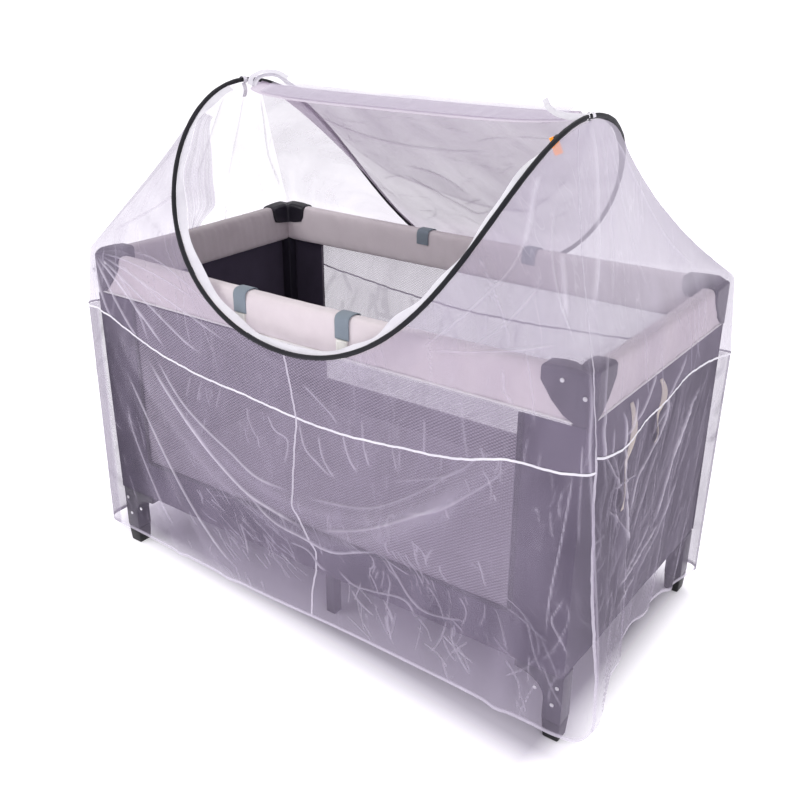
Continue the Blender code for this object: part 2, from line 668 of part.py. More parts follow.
def make_cap(name, sx, sy, material):
    """A corner cap: a wing along each rail, round below and dipped at the corner."""
    round_out = 0.028
    round_in = 0.008
    outer_x = COT_LENGTH / 2 + CAP_PROUD
    outer_y = COT_WIDTH / 2 + CAP_PROUD
    deep = RAIL_THICK + 2 * CAP_PROUD
    run = CAP_REACH + CAP_PROUD
    stations = []
    for share in (0, 0.33, 0.66, 1):
        stations.append(("x", share))
    for share in (0.25, 0.5, 0.75):
        stations.append(("turn", share))
    for share in (1, 0.66, 0.33, 0):
        stations.append(("y", share))
    sections = []
    for i, (kind, share) in enumerate(stations):
        if kind == "x":
            out = (outer_x - run + (run - round_out) * share, outer_y)
            inn = (outer_x - run + (run - deep - round_in) * share, outer_y - deep)
        elif kind == "y":
            out = (outer_x, outer_y - run + (run - round_out) * share)
            inn = (outer_x - deep, outer_y - run + (run - deep - round_in) * share)
        else:
            a = radians(90 - 90 * share)
            out = (outer_x - round_out + round_out * cos(a), outer_y - round_out + round_out * sin(a))
            inn = (
                outer_x - deep - round_in + round_in * cos(a),
                outer_y - deep - round_in + round_in * sin(a),
            )
        u = abs(i - 5) / 5
        top = CAP_TOP - 0.006 * (1 - min(u / 0.4, 1)) - 0.004 * max(u - 0.7, 0) / 0.3
        bottom = CAP_BOTTOM + 0.068 * (max(u - 0.25, 0) / 0.75) ** 2
        mid_out = np.array((*out, 0))
        mid_in = np.array((*inn, 0))
        soft = (mid_in - mid_out) * 0.12
        section = []
        for base, height in (
            (mid_out, bottom), (mid_out, top - 0.005), (mid_out + soft, top),
            (mid_in - soft, top), (mid_in, top - 0.005), (mid_in, bottom),
        ):
            section.append((sx * base[0], sy * base[1], height))
        sections.append(section)
    lofted(name, sections, material)


def wing_outline(reach, depth, post):
    """A corner shoe seen face on: a wing below the wall that narrows to a post."""
    points = [(0, FOOT_TOP + SEAM_GAP), (0, SHOE_TOP)]
    points.append((reach, SHOE_TOP))
    for share in (0, 0.2, 0.4, 0.6, 0.8, 1):
        a = radians(90 * share)
        points.append((reach - (reach - post) * sin(a), SHOE_TOP - 0.018 - depth * (1 - cos(a))))
    points.append((post, FOOT_TOP + SEAM_GAP))
    return points


def make_leg(name, sx, sy, shoe, foot):
    """An upright tube inside the wall's corner on its shoe, and the foot below."""
    x = COT_LENGTH / 2 - LEG_INSET
    y = COT_WIDTH / 2 - LEG_INSET
    half = LEG_TUBE / 2
    post = 0.040
    outer_x = COT_LENGTH / 2 - 0.005
    outer_y = COT_WIDTH / 2 - 0.005
    plate = []
    for along, height in wing_outline(0.105, 0.045, post):
        plate.append((along, height))
    bm = bmesh.new()
    front = [bm.verts.new((sx * (outer_x - a), sy * outer_y, h)) for a, h in plate]
    rear = [bm.verts.new((sx * (outer_x - a), sy * (outer_y - post), h)) for a, h in plate]
    count = len(plate)
    for i in range(count):
        j = (i + 1) % count
        bm.faces.new((front[i], front[j], rear[j], rear[i]))
    bm.faces.new(front)
    bm.faces.new(rear[::-1])
    bmesh.ops.recalc_face_normals(bm, faces=bm.faces)
    leg = mesh_object(name.replace("foot", "leg"), bm, shoe)
    tube = block(name + "_tube", (sx * x - half, sy * y - half, SHOE_TOP - 0.01),
                 (sx * x + half, sy * y + half, CAP_BOTTOM - SEAM_GAP), shoe)
    tube.hide_render = True
    tube.display_type = "WIRE"
    join = leg.modifiers.new("Tube", "BOOLEAN")
    join.operation = "UNION"
    join.object = tube
    xs = sorted((sx * outer_x, sx * (outer_x - post)))
    ys = sorted((sy * outer_y, sy * (outer_y - post)))
    lofted(
        name,
        [
            [(xs[0] + i, ys[0] + i, z), (xs[1] - i, ys[0] + i, z),
             (xs[1] - i, ys[1] - i, z), (xs[0] + i, ys[1] - i, z)]
            for z, i in ((0, 0.005), (0.004, 0.003), (FOOT_TOP, 0))
        ],
        foot,
    )


def wall_outline():
    """The dark wall face on: corner panels and floor band round a window open at the top."""
    half = COT_LENGTH / 2 - 0.0045
    edge = WINDOW_HALF
    top = RAIL_BOTTOM - SEAM_GAP
    return [(-half, BAND_BOTTOM), (half, BAND_BOTTOM), (half, top), (edge, top),
            (edge, BAND_TOP), (-edge, BAND_TOP), (-edge, top), (-half, top)]


def plate(name, outline, y, thick, material):
    """A flat face-on outline, extruded away from the front."""
    bm = bmesh.new()
    face = bm.faces.new([bm.verts.new((px, y, pz)) for px, pz in outline])
    grown = bmesh.ops.extrude_face_region(bm, geom=[face])
    moved = [v for v in grown["geom"] if isinstance(v, bmesh.types.BMVert)]
    bmesh.ops.translate(bm, vec=(0, thick, 0), verts=moved)
    bmesh.ops.recalc_face_normals(bm, faces=bm.faces)
    return mesh_object(name, bm, material)


def make_walls(fabric, window):
    for name, sign in (("front", -1), ("back", 1)):
        outer = sign * (COT_WIDTH / 2 - 0.0015)
        plate("cot_wall_" + name, wall_outline(), outer, -sign * WALL_THICK, fabric)
        gap = SEAM_GAP
        pane = [(-WINDOW_HALF + gap, BAND_TOP + gap), (WINDOW_HALF - gap, BAND_TOP + gap),
                (WINDOW_HALF - gap, RAIL_BOTTOM - gap), (-WINDOW_HALF + gap, RAIL_BOTTOM - gap)]
        plate("cot_mesh_" + name, pane, outer, -sign * WALL_THICK / 1.5, window)
    half_y = COT_WIDTH / 2 - 0.0015 - WALL_THICK - SEAM_GAP
    for name, sign in (("left", -1), ("right", 1)):
        outer = sign * (COT_LENGTH / 2 - 0.0045)
        xs = sorted((outer, outer - sign * WALL_THICK))
        block("cot_end_" + name, (xs[0], -half_y, BAND_BOTTOM),
              (xs[1], half_y, RAIL_BOTTOM - SEAM_GAP), fabric)


def make_floor(fabric, steel, black):
    half_x = COT_LENGTH / 2 - 0.050
    half_y = COT_WIDTH / 2 - 0.050
    bottom = MATTRESS_TOP - MATTRESS_THICK
    block("cot_mattress", (-half_x, -half_y, bottom), (half_x, half_y, MATTRESS_TOP), fabric, 0.008)
    low = bottom - SEAM_GAP - BASE_BAR
    high = low + BASE_BAR
    leg_x = COT_LENGTH / 2 - LEG_INSET
    leg_y = COT_WIDTH / 2 - LEG_INSET - LEG_TUBE / 2 - SEAM_GAP
    long_bar = block("cot_base", (-leg_x, -0.020, low), (leg_x, 0.020, high), steel)
    cross = block("base_cross", (-0.030, -0.262, low + 0.001), (0.030, 0.262, high - 0.001), steel)
    posts = []
    bars = []
    for name, sign in (("a", -1), ("b", 1)):
        foot_y = sign * MIDDLE_FOOT_Y
        posts.append(block("base_foot_" + name, (-0.012, foot_y - 0.012, 0),
                           (0.012, foot_y + 0.012, low + 0.010), black))
        edge = sign * leg_x
        bars.append(block("base_end_" + name, (edge - 0.011, -leg_y, low + 0.002),
                          (edge + 0.011, leg_y, high - 0.002), steel))
    for helper in [cross] + posts + bars:
        helper.hide_render = True
        helper.display_type = "WIRE"
        join = long_bar.modifiers.new(helper.name, "BOOLEAN")
        join.operation = "UNION"
        join.object = helper


Strap = namedtuple("Strap", "name x side clip")
STRAPS = (
    Strap("front_left", -0.156, -1, True),
    Strap("front_right", 0.111, -1, True),
    Strap("back_left", -0.138, 1, False),
    Strap("back_right", 0.162, 1, False),
)
STRAP_WIDTH = 0.034
STRAP_THICK = 0.002


def make_straps(webbing, clip_white):
    """Each strap folds over a rail: down its outer face to the clip, and down inside."""
    for strap in STRAPS:
        top = RAIL_TOP - RAIL_SAG * (1 - (strap.x / (COT_LENGTH / 2 - CAP_REACH)) ** 2)
        outer = COT_WIDTH / 2 + 0.0004 + STRAP_THICK / 2
        inner = COT_WIDTH / 2 - RAIL_THICK - 0.0004 - STRAP_THICK / 2
        crown = top + 0.0010 + STRAP_THICK / 2
        low = top - 0.060

        def over(across, t):
            route = ((outer, low), (outer, crown - 0.012), (outer - 0.0035, crown - 0.0035),
                     (outer - 0.012, crown), (inner + 0.012, crown), (inner + 0.0035, crown - 0.0035),
                     (inner, crown - 0.012), (inner, low + 0.012))
            i = min(int(t), len(route) - 2)
            y = route[i][0] + (route[i + 1][0] - route[i][0]) * (t - i)
            z = route[i][1] + (route[i + 1][1] - route[i][1]) * (t - i)
            return np.array((strap.x + across * STRAP_WIDTH / 2, strap.side * y, z))

        cloth("cot_strap_" + strap.name, over, [-1.0, 1.0], [float(i) for i in range(8)], webbing,
              STRAP_THICK)
        if strap.clip:
            face = strap.side * (COT_WIDTH / 2 + 0.0005)
            ys = sorted((face, face + strap.side * 0.005))
            block("cot_clip_" + strap.name, (strap.x - 0.012, ys[0], low - 0.0285),
                  (strap.x + 0.014, ys[1], low - 0.0005), clip_white, 0.0012)


Loop = namedtuple("Loop", "name y top bottom")
LOOPS = (Loop("front", -0.145, 0.655, 0.430), Loop("back", -0.010, 0.655, 0.520))


def make_loops(webbing):
    """Two webbing loops sewn below the right end rail, hanging with a twist."""
    for loop in LOOPS:

        def hang(across, t):
            height = loop.top + (loop.bottom - loop.top) * t
            twist = 0.9 * sin(2 * pi * t)
            x = COT_LENGTH / 2 - 0.0045 + 0.00105 + 0.004 * sin(pi * t) + abs(sin(twist)) * 0.005
            y = loop.y + 0.010 * sin(2.4 * pi * t)
            lead = np.array((sin(twist) * 0.6, cos(twist), 0))
            return np.array((x, y, height)) + unit(lead) * across * 0.006

        cloth("cot_loop_" + loop.name, hang, [-1.0, 1.0], spread(0, 1, 12), webbing, 0.0015)


def main():
    for thing in list(bpy.data.objects):
        bpy.data.objects.remove(thing, do_unlink=True)
    sheer = paint("sheer net", (0.86, 0.83, 0.90), 0.7, alpha=0.35)
    tape = paint("white tape", (0.93, 0.93, 0.95), 0.75)
    binding = paint("black binding", (0.030, 0.028, 0.045), 0.6)
    orange = paint("orange tab", (0.95, 0.38, 0.05), 0.5)
    dark = paint("dark plastic", (0.10, 0.09, 0.12), 0.4)
    pad = paint("beige padding", (0.78, 0.74, 0.74), 0.8)
    fabric = paint("dark fabric", (0.14, 0.12, 0.17), 0.85)
    window = paint("window mesh", (0.30, 0.27, 0.33), 0.8, alpha=0.5)
    black = paint("black foot", (0.01, 0.01, 0.012), 0.5)
    grey = paint("grey webbing", (0.42, 0.48, 0.55), 0.75)
    ivory = paint("ivory clip", (0.92, 0.90, 0.87), 0.45)
    beige = paint("beige webbing", (0.80, 0.73, 0.65), 0.8)
    make_hoop(binding)
    make_net(sheer, tape)
    make_seams(tape)
    make_canopy_trim(sheer, tape, orange, dark)
    make_rails(pad)
    for end, sx in (("left", -1), ("right", 1)):
        for side, sy in (("front", -1), ("back", 1)):
            make_cap("cot_cap_%s_%s" % (side, end), sx, sy, dark)
            make_leg("cot_foot_%s_%s" % (side, end), sx, sy, dark, black)
    make_walls(fabric, window)
    make_floor(fabric, dark, black)
    make_straps(grey, ivory)
    make_loops(beige)


main()
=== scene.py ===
# %% [markdown]
# # A mosquito net on a travel cot
#
# A sheer net with one sprung hoop is dropped over a folding travel cot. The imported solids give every
# size and place. These cells dress them: fine cloth in place of the plain sheets, padded rails,
# moulded corners, webbing and seams, and then the studio they stand in.

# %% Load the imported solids
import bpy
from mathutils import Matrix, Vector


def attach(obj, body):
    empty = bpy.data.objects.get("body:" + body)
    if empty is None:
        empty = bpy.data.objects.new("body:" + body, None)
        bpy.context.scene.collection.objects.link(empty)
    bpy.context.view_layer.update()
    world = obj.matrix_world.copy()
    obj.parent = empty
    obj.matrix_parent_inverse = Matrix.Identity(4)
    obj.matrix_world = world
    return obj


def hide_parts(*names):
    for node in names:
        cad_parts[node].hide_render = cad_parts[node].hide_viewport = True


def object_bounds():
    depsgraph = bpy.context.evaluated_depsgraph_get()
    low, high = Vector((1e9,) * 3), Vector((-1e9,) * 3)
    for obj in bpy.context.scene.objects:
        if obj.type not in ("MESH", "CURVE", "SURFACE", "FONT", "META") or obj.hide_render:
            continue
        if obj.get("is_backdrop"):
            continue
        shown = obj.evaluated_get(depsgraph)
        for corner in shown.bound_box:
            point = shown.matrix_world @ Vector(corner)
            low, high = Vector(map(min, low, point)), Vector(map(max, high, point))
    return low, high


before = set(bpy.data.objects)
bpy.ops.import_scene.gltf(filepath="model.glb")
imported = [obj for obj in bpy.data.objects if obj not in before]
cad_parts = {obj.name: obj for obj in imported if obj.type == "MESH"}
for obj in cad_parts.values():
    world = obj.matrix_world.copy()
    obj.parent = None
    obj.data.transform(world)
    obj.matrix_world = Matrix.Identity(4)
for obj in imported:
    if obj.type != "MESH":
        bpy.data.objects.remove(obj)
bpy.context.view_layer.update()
print("solids:", len(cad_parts))

# %% [markdown]
# Numbers come in large arrays here, so numpy works out the cloth's points, and Blender's own modules
# make the meshes. Everything is seeded, so that the same cot comes out each time.

# %% Libraries
from collections import namedtuple
from math import cos, pi, radians, sin

import bmesh
import bpy
import numpy as np
from mathutils import Matrix, Vector

# %% [markdown]
# ## The camera
#
# The photograph was taken from above the right front corner. A camera could be aimed by eye, but its
# place was solved from the cot's known size, so the folds below can be compared with the photograph
# line by line. Its own axes are kept, because a few creases are placed by the picture.

# %% Place the camera
AZIMUTH, ELEVATION, ROLL = radians(35.94), radians(23.95), radians(0.24)
CAMERA_AT = np.array((1.2147, -1.6657, 1.3595))
FOCAL = 971.94
PICTURE = 800
SENSOR = 36

back = np.array((sin(AZIMUTH) * cos(ELEVATION), -cos(AZIMUTH) * cos(ELEVATION), sin(ELEVATION)))
level_right = np.array((cos(AZIMUTH), sin(AZIMUTH), 0.0))
level_up = np.cross(back, level_right)
camera_right = cos(ROLL) * level_right + sin(ROLL) * level_up
camera_up = -sin(ROLL) * level_right + cos(ROLL) * level_up


def add_object(name, data):
    """A new object in the scene, from a mesh, a curve, a lamp or a camera."""
    made = bpy.data.objects.new(name, data)
    bpy.context.scene.collection.objects.link(made)
    return made


camera = add_object("camera", bpy.data.cameras.new("camera"))
turn = Matrix(np.stack((camera_right, camera_up, back), axis=1).tolist()).to_4x4()
camera.matrix_world = Matrix.Translation(CAMERA_AT.tolist()) @ turn
camera.data.sensor_width = SENSOR
camera.data.lens = FOCAL / PICTURE * SENSOR
bpy.context.scene.camera = camera
print("lens:", round(camera.data.lens, 2), "mm")

# %% [markdown]
# ## The studio
#
# The background is plain white with a soft shadow. Large area lights give the soft light of studio
# boxes, a white world fills the shadows, and the floor is a broad plate that runs out of view.

# %% Make the floor and the lights
FLOOR_SIZE, FLOOR_DROP = 240, 0.0005
SURROUND = 0.56
AIMED_AT = Vector((0, 0, 0.5))
LIGHTS = (
    ("key light", (-2.2, -2.6, 3.4), 2.4, 66),
    ("fill light", (3.0, -2.4, 2.2), 2.2, 30),
    ("top light", (0.2, 1.2, 3.8), 2.6, 42),
)
for name, place, size, power in LIGHTS:
    lamp = bpy.data.lights.new(name, "AREA")
    lamp.shape = "SQUARE"
    lamp.size = size
    lamp.energy = power
    lamp.color = (1, 1, 1)
    made = add_object(name, lamp)
    made.location = place
    made.rotation_mode = "QUATERNION"
    made.rotation_quaternion = (AIMED_AT - Vector(place)).to_track_quat("-Z", "Y")

world = bpy.data.worlds.new("white surround")
world.use_nodes = True
world.node_tree.nodes["Background"].inputs["Color"].default_value = (1, 1, 1, 1)
world.node_tree.nodes["Background"].inputs["Strength"].default_value = SURROUND
bpy.context.scene.world = world
bpy.context.scene.view_settings.view_transform = "Standard"

bpy.ops.object.select_all(action="DESELECT")
bpy.ops.mesh.primitive_plane_add(size=FLOOR_SIZE, location=(0, 0, -FLOOR_DROP))
floor = bpy.context.object
floor.name = "floor"
floor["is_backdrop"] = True
print("lights:", len(LIGHTS), "floor:", FLOOR_SIZE, "m")

# %% [markdown]
# ## Finishes
#
# Every finish is a small node tree. A helper adds a node, sets its inputs and links it, so that each
# material reads as a list of what the real surface has: its weave, its wear and its shine.


# %% Helpers for node trees
def feed(tree, socket, value):
    """Links an input to another node's output, or sets it to a plain value."""
    if isinstance(value, bpy.types.NodeSocket):
        tree.links.new(value, socket)
    else:
        socket.default_value = value


def add_node(tree, kind, settings=(), **inputs):
    """Adds a node. Settings are its own properties; inputs are values or sockets to link."""
    made = tree.nodes.new("ShaderNode" + kind)
    for name, value in dict(settings).items():
        setattr(made, name, value)
    for name, value in inputs.items():
        feed(tree, made.inputs[name.replace("_", " ")], value)
    return made


def maths(tree, operation, *values, clamp=False):
    made = tree.nodes.new("ShaderNodeMath")
    made.operation = operation
    made.use_clamp = clamp
    for socket, value in zip(made.inputs, values):
        feed(tree, socket, value)
    return made.outputs[0]


def ranged(tree, value, low, high, to_low=0.0, to_high=1.0):
    made = add_node(tree, "MapRange", {"clamp": True}, Value=value, From_Min=low, From_Max=high,
                    To_Min=to_low, To_Max=to_high)
    return made.outputs[0]


def mixed(tree, share, first, second):
    """Blends two colours by a share."""
    made = tree.nodes.new("ShaderNodeMix")
    made.data_type = "RGBA"
    feed(tree, made.inputs[0], share)
    for socket, colour in ((made.inputs[6], first), (made.inputs[7], second)):
        feed(tree, socket, (*colour, 1) if isinstance(colour, tuple) else colour)
    return made.outputs[2]


def new_finish(name, rough=0.6, metal=0.0):
    """An empty material with its shader, ready for the nodes of a finish."""
    made = bpy.data.materials.new(name)
    made.use_nodes = True
    shader = made.node_tree.nodes["Principled BSDF"]
    shader.inputs["Roughness"].default_value = rough
    shader.inputs["Metallic"].default_value = metal
    return made, made.node_tree, shader


def bump(tree, shader, height, strength, distance):
    made = add_node(tree, "Bump", Height=height, Strength=strength, Distance=distance)
    tree.links.new(made.outputs[0], shader.inputs["Normal"])


def noise(tree, place, scale, detail=2.0, rough=0.5, stretch=None):
    """A cloud of noise. Stretch draws it out, so that it runs along the cloth."""
    if stretch:
        place = add_node(tree, "Mapping", Vector=place, Scale=stretch).outputs[0]
    return add_node(tree, "TexNoise", Vector=place, Scale=scale, Detail=detail, Roughness=rough).outputs[0]


def object_place(tree):
    return add_node(tree, "TexCoord").outputs["Object"]


def flat_place(tree):
    """The cloth's own map, in metres along its width and its length."""
    return add_node(tree, "UVMap", {"uv_map": "cloth"}).outputs[0]


# %% [markdown]
# The floor is a pale lilac with a painted glow of its own, which keeps it white all round, as in a
# studio that is lit until the background burns out. The glow stops at the cot's own outline on the
# floor, so the shadow under it shows, its edge painted by the glow's edge, and the lilac under the
# cot adds painted shade. Its front edge is slanted a little, as the hem is.

# %% Floor finish
SHADOW_SLANT, SHADOW_SHIFT, PAINTED_GLOW = 0.095, 0.06, 0.85
SHADOW_FRONT, SHADOW_SIDES, SHADOW_BACK = (-0.40, -0.30), (0.64, 0.73), (0.30, 0.42)

floor_finish, tree, shader = new_finish("white floor", 0.7)
# Lilac floor colour, seen only where the glow stops: painted shade under the cot.
shader.inputs["Base Color"].default_value = (0.72, 0.67, 0.78, 1)
shader.inputs["Emission Color"].default_value = (1, 1, 1, 1)
parts = add_node(tree, "SeparateXYZ", Vector=object_place(tree)).outputs
slanted = maths(tree, "MULTIPLY_ADD", parts["X"], SHADOW_SLANT, parts["Y"])
aside = maths(tree, "ABSOLUTE", maths(tree, "ADD", parts["X"], SHADOW_SHIFT))
painted_glow_share = ranged(tree, slanted, *SHADOW_FRONT, 1.0, 0.0)
painted_glow_share = maths(tree, "ADD", painted_glow_share, ranged(tree, aside, *SHADOW_SIDES))
painted_glow_share = maths(tree, "ADD", painted_glow_share, ranged(tree, parts["Y"], *SHADOW_BACK), clamp=True)
# The glow paints light outside the cot's outline and leaves painted shade under it.
tree.links.new(maths(tree, "MULTIPLY", painted_glow_share, PAINTED_GLOW), shader.inputs["Emission Strength"])
floor.data.materials.append(floor_finish)
print("floor nodes:", len(tree.nodes))

# %% [markdown]
# The net is a very fine knitted mesh. One could model each hole, but they are under two millimetres,
# so the finish does it: the cloth is mostly see-through, its threads come from waves along the
# cloth's own map, and where the cloth is creased or doubled there is more thread in the way. Each
# point of the cloth carries two attributes: `crease` is more thread, and its paler colour is a painted
# highlight; `layers` is cloth behind cloth, at a seam or a flange, which covers more, and its darker
# colour is painted shade. Layers below 0 are thinner.

# %% Net finish
THREAD_PITCH = 0.0016
WEAVE_COVER, DRAPE_COVER, FINE_COVER, LAYERS_COVER, CREASE_COVER = 0.05, 0.12, 0.07, 0.34, 0.48
COVER_TRIM = 0.055
PAINTED_LAYER_SHADE = (0.17, 0.14, 0.20)


def threads(tree, place, pitch):
    """Two sets of waves crossed at right angles, from 0 in a hole to 1 on a thread."""
    parts = add_node(tree, "SeparateXYZ", Vector=place)
    ups = []
    for name in ("X", "Y"):
        wave = maths(tree, "SINE", maths(tree, "MULTIPLY", parts.outputs[name], 2 * pi / pitch))
        ups.append(maths(tree, "MULTIPLY_ADD", wave, 0.5, 0.5))
    return maths(tree, "MAXIMUM", ups[0], ups[1])


def net_finish(name, colour, painted_highlight, cover):
    made, tree, shader = new_finish(name, 0.55)
    place = flat_place(tree)
    weave = threads(tree, place, THREAD_PITCH)
    crease = add_node(tree, "Attribute", {"attribute_name": "crease"}).outputs["Fac"]
    layers = add_node(tree, "Attribute", {"attribute_name": "layers"}).outputs["Fac"]
    shade = ranged(tree, layers, 0.0, 1.0)
    cloud = noise(tree, place, 9.0, 3.0)
    drape = noise(tree, place, 1.0, 3.0, 0.55, (9, 4, 1))
    wrinkle = noise(tree, place, 1.0, 2.0, 0.5, (26, 7, 1))
    fine = ranged(tree, maths(tree, "ABSOLUTE", maths(tree, "SUBTRACT", wrinkle, 0.5)), 0.0, 0.022, 1.0, 0.0)
    fine = maths(tree, "MULTIPLY", fine, ranged(tree, cloud, 0.45, 0.70))
    alpha = maths(tree, "MULTIPLY_ADD", weave, WEAVE_COVER, cover - COVER_TRIM)
    alpha = maths(tree, "MULTIPLY_ADD", ranged(tree, drape, 0.35, 0.68), DRAPE_COVER, alpha)
    alpha = maths(tree, "MULTIPLY_ADD", fine, FINE_COVER, alpha)
    alpha = maths(tree, "MULTIPLY_ADD", layers, LAYERS_COVER, alpha)
    alpha = maths(tree, "MULTIPLY_ADD", crease, CREASE_COVER, alpha, clamp=True)
    tree.links.new(alpha, shader.inputs["Alpha"])
    # Creases and fine wrinkles take a paler colour: a painted highlight.
    lit = maths(tree, "MULTIPLY_ADD", fine, 0.25, crease, clamp=True)
    own = mixed(tree, lit, colour, painted_highlight)
    # Layers above 0 darken the colour: painted shade.
    tree.links.new(mixed(tree, shade, own, PAINTED_LAYER_SHADE), shader.inputs["Base Color"])
    bump(tree, shader, wrinkle, 0.30, 0.0030)
    return made


SHEER = net_finish("sheer net", (0.395, 0.335, 0.465), (0.72, 0.67, 0.78), 0.29)
THIN = net_finish("thin net", (0.46, 0.40, 0.53), (0.74, 0.69, 0.80), 0.14)
DOUBLE = net_finish("doubled net", (0.46, 0.37, 0.50), (0.74, 0.67, 0.77), 0.59)
HAZE = net_finish("far net", (0.46, 0.40, 0.53), (0.42, 0.37, 0.47), 0.14)
SEAM = net_finish("seam tape", (0.66, 0.61, 0.72), (0.80, 0.76, 0.85), 0.62)
print("net finishes:", SHEER.name, THIN.name, DOUBLE.name, HAZE.name, SEAM.name)

# %% [markdown]
# Woven cloth shares one recipe: threads crossed at right angles, read from the object's own
# coordinates, a slow cloud of wear, and a bump from both. Only colours, pitch and shine differ. The
# left end rail is in the shade of its net, and that shade is painted into a darker copy of its cover.
# The orange webbing is a bright safety dye, and a little emission adds a painted glow to it.


# %% Woven finishes
def woven_finish(name, colour, dark, pitch, rough=0.85, sheen=0.2, height=0.00025):
    made, tree, shader = new_finish(name, rough)
    place = object_place(tree)
    parts = add_node(tree, "SeparateXYZ", Vector=place)
    sums = maths(tree, "ADD", parts.outputs["X"], parts.outputs["Y"])
    across = maths(tree, "SINE", maths(tree, "MULTIPLY", sums, 2 * pi / pitch))
    along = maths(tree, "SINE", maths(tree, "MULTIPLY", parts.outputs["Z"], 2 * pi / pitch))
    weave = maths(tree, "MULTIPLY_ADD", maths(tree, "MULTIPLY", across, along), 0.5, 0.5)
    cloud = noise(tree, place, 14.0, 4.0, 0.6)
    worn = ranged(tree, cloud, 0.3, 0.7)
    shade = maths(tree, "MULTIPLY_ADD", worn, 0.6, maths(tree, "MULTIPLY", weave, 0.4))
    tree.links.new(mixed(tree, shade, dark, colour), shader.inputs["Base Color"])
    shader.inputs["Sheen Weight"].default_value = sheen
    shader.inputs["Specular IOR Level"].default_value = 0.2
    bump(tree, shader, maths(tree, "MULTIPLY_ADD", cloud, 2.0, weave), 0.5, height)
    return made


TAPE = woven_finish("white tape", (0.86, 0.84, 0.89), (0.68, 0.65, 0.73), 0.0012)
BINDING = woven_finish("dark binding", (0.016, 0.015, 0.022), (0.006, 0.006, 0.009), 0.0014, 0.55, 0.06)
ORANGE = woven_finish("orange webbing", (1.0, 0.36, 0.03), (0.90, 0.22, 0.01), 0.0012, 0.6)
# The orange webbing glows a little: a painted glow.
orange_painted_glow = next(node for node in ORANGE.node_tree.nodes if node.type == "BSDF_PRINCIPLED")
orange_painted_glow.inputs["Emission Color"].default_value = (1, 0.36, 0.03, 1)
orange_painted_glow.inputs["Emission Strength"].default_value = 0.5
PADDING = woven_finish("beige padding", (0.76, 0.685, 0.72), (0.66, 0.585, 0.62), 0.0013, 0.85)
# Painted shade: a darker copy of the padding, for the left end rail.
SHADED_PADDING = woven_finish("shaded padding", (0.50, 0.445, 0.47), (0.42, 0.365, 0.39), 0.0013, 0.85)
PIPING = woven_finish("white piping", (0.90, 0.88, 0.88), (0.78, 0.75, 0.76), 0.0010)
DARK_CLOTH = woven_finish("dark cloth", (0.052, 0.040, 0.070), (0.034, 0.027, 0.046), 0.0016, 0.85, 0.1)
PAD_CLOTH = woven_finish("mattress cloth", (0.20, 0.175, 0.23), (0.15, 0.13, 0.17), 0.0016, 0.85, 0.1)
EDGING = woven_finish("dark edging", (0.022, 0.019, 0.030), (0.012, 0.010, 0.016), 0.0016, 0.8, 0.1)
GREY_WEBBING = woven_finish("grey webbing", (0.25, 0.29, 0.34), (0.18, 0.215, 0.26), 0.0018)
BEIGE_WEBBING = woven_finish("beige webbing", (0.74, 0.66, 0.56), (0.55, 0.47, 0.38), 0.0016)
print("finishes so far:", len(bpy.data.materials))


# %% [markdown]
# Moulded plastic has no weave. It has a fine pebble, a slow change of tone and a soft shine.

# %% Plastic, rubber and steel finishes
def moulded_finish(name, colour, rough, pebble=520.0, depth=0.00012, metal=0.0):
    made, tree, shader = new_finish(name, rough, metal)
    place = object_place(tree)
    grain = noise(tree, place, pebble, 2.0)
    cloud = noise(tree, place, 18.0, 3.0)
    darker = tuple(0.72 * c for c in colour)
    tree.links.new(mixed(tree, ranged(tree, cloud, 0.35, 0.65), darker, colour), shader.inputs["Base Color"])
    shader.inputs["Specular IOR Level"].default_value = 0.5 if metal else 0.3
    bump(tree, shader, grain, 0.4, depth)
    return made


DARK_PLASTIC = moulded_finish("dark plastic", (0.024, 0.021, 0.032), 0.36, 520.0, 0.00004)
BLACK_RUBBER = moulded_finish("black foot", (0.010, 0.010, 0.012), 0.5, 700.0)
IVORY = moulded_finish("ivory plastic", (0.86, 0.84, 0.80), 0.35, 400.0, 0.00005)
STEEL = moulded_finish("rivet steel", (0.78, 0.77, 0.79), 0.28, 900.0, 0.00003, 1.0)
FRAME_STEEL = moulded_finish("painted tube", (0.020, 0.018, 0.026), 0.45, 300.0, 0.00004)
print("finishes so far:", len(bpy.data.materials))

# %% [markdown]
# The cot's windows are a coarse dark mesh. Its holes show in the photograph, so the finish opens
# them: rows of small round holes, offset by half a step, on the window's own map. The far window is
# seen from inside, where the holes blur into an even grey, so its holes are nearly filled.

# %% Window mesh finish
HOLE_PITCH, HOLE_LONG = 0.0066, 1.5


def window_finish(name, open_part, thread_part):
    made, tree, shader = new_finish(name, 0.7)
    parts = add_node(tree, "SeparateXYZ", Vector=flat_place(tree))
    ups = []
    long = maths(tree, "DIVIDE", parts.outputs["X"], HOLE_LONG)
    for sign in (1, -1):
        slant = maths(tree, "MULTIPLY_ADD", parts.outputs["Y"], float(sign), long)
        ups.append(maths(tree, "COSINE", maths(tree, "MULTIPLY", slant, 2 * pi / HOLE_PITCH)))
    holes = maths(tree, "ADD", ups[0], ups[1])
    cover = ranged(tree, holes, -0.9, 0.9, thread_part, open_part)
    tree.links.new(cover, shader.inputs["Alpha"])
    cloud = noise(tree, flat_place(tree), 7.0, 3.0)
    tree.links.new(mixed(tree, cloud, (0.31, 0.27, 0.34), (0.40, 0.355, 0.43)), shader.inputs["Base Color"])
    return made


WINDOW = window_finish("window mesh", 0.20, 0.74)
FAR_WINDOW = window_finish("far window mesh", 0.45, 0.53)
print("window holes:", 1000 * HOLE_PITCH, "mm apart")

# %% [markdown]
# ## Shapes that the net follows
#
# The net hangs between four lines: the hoop, the top rails, the belt seam and the hem. The sizes
# here are the ones the solids were made with, so the fine cloth lies where the plain cloth lay.

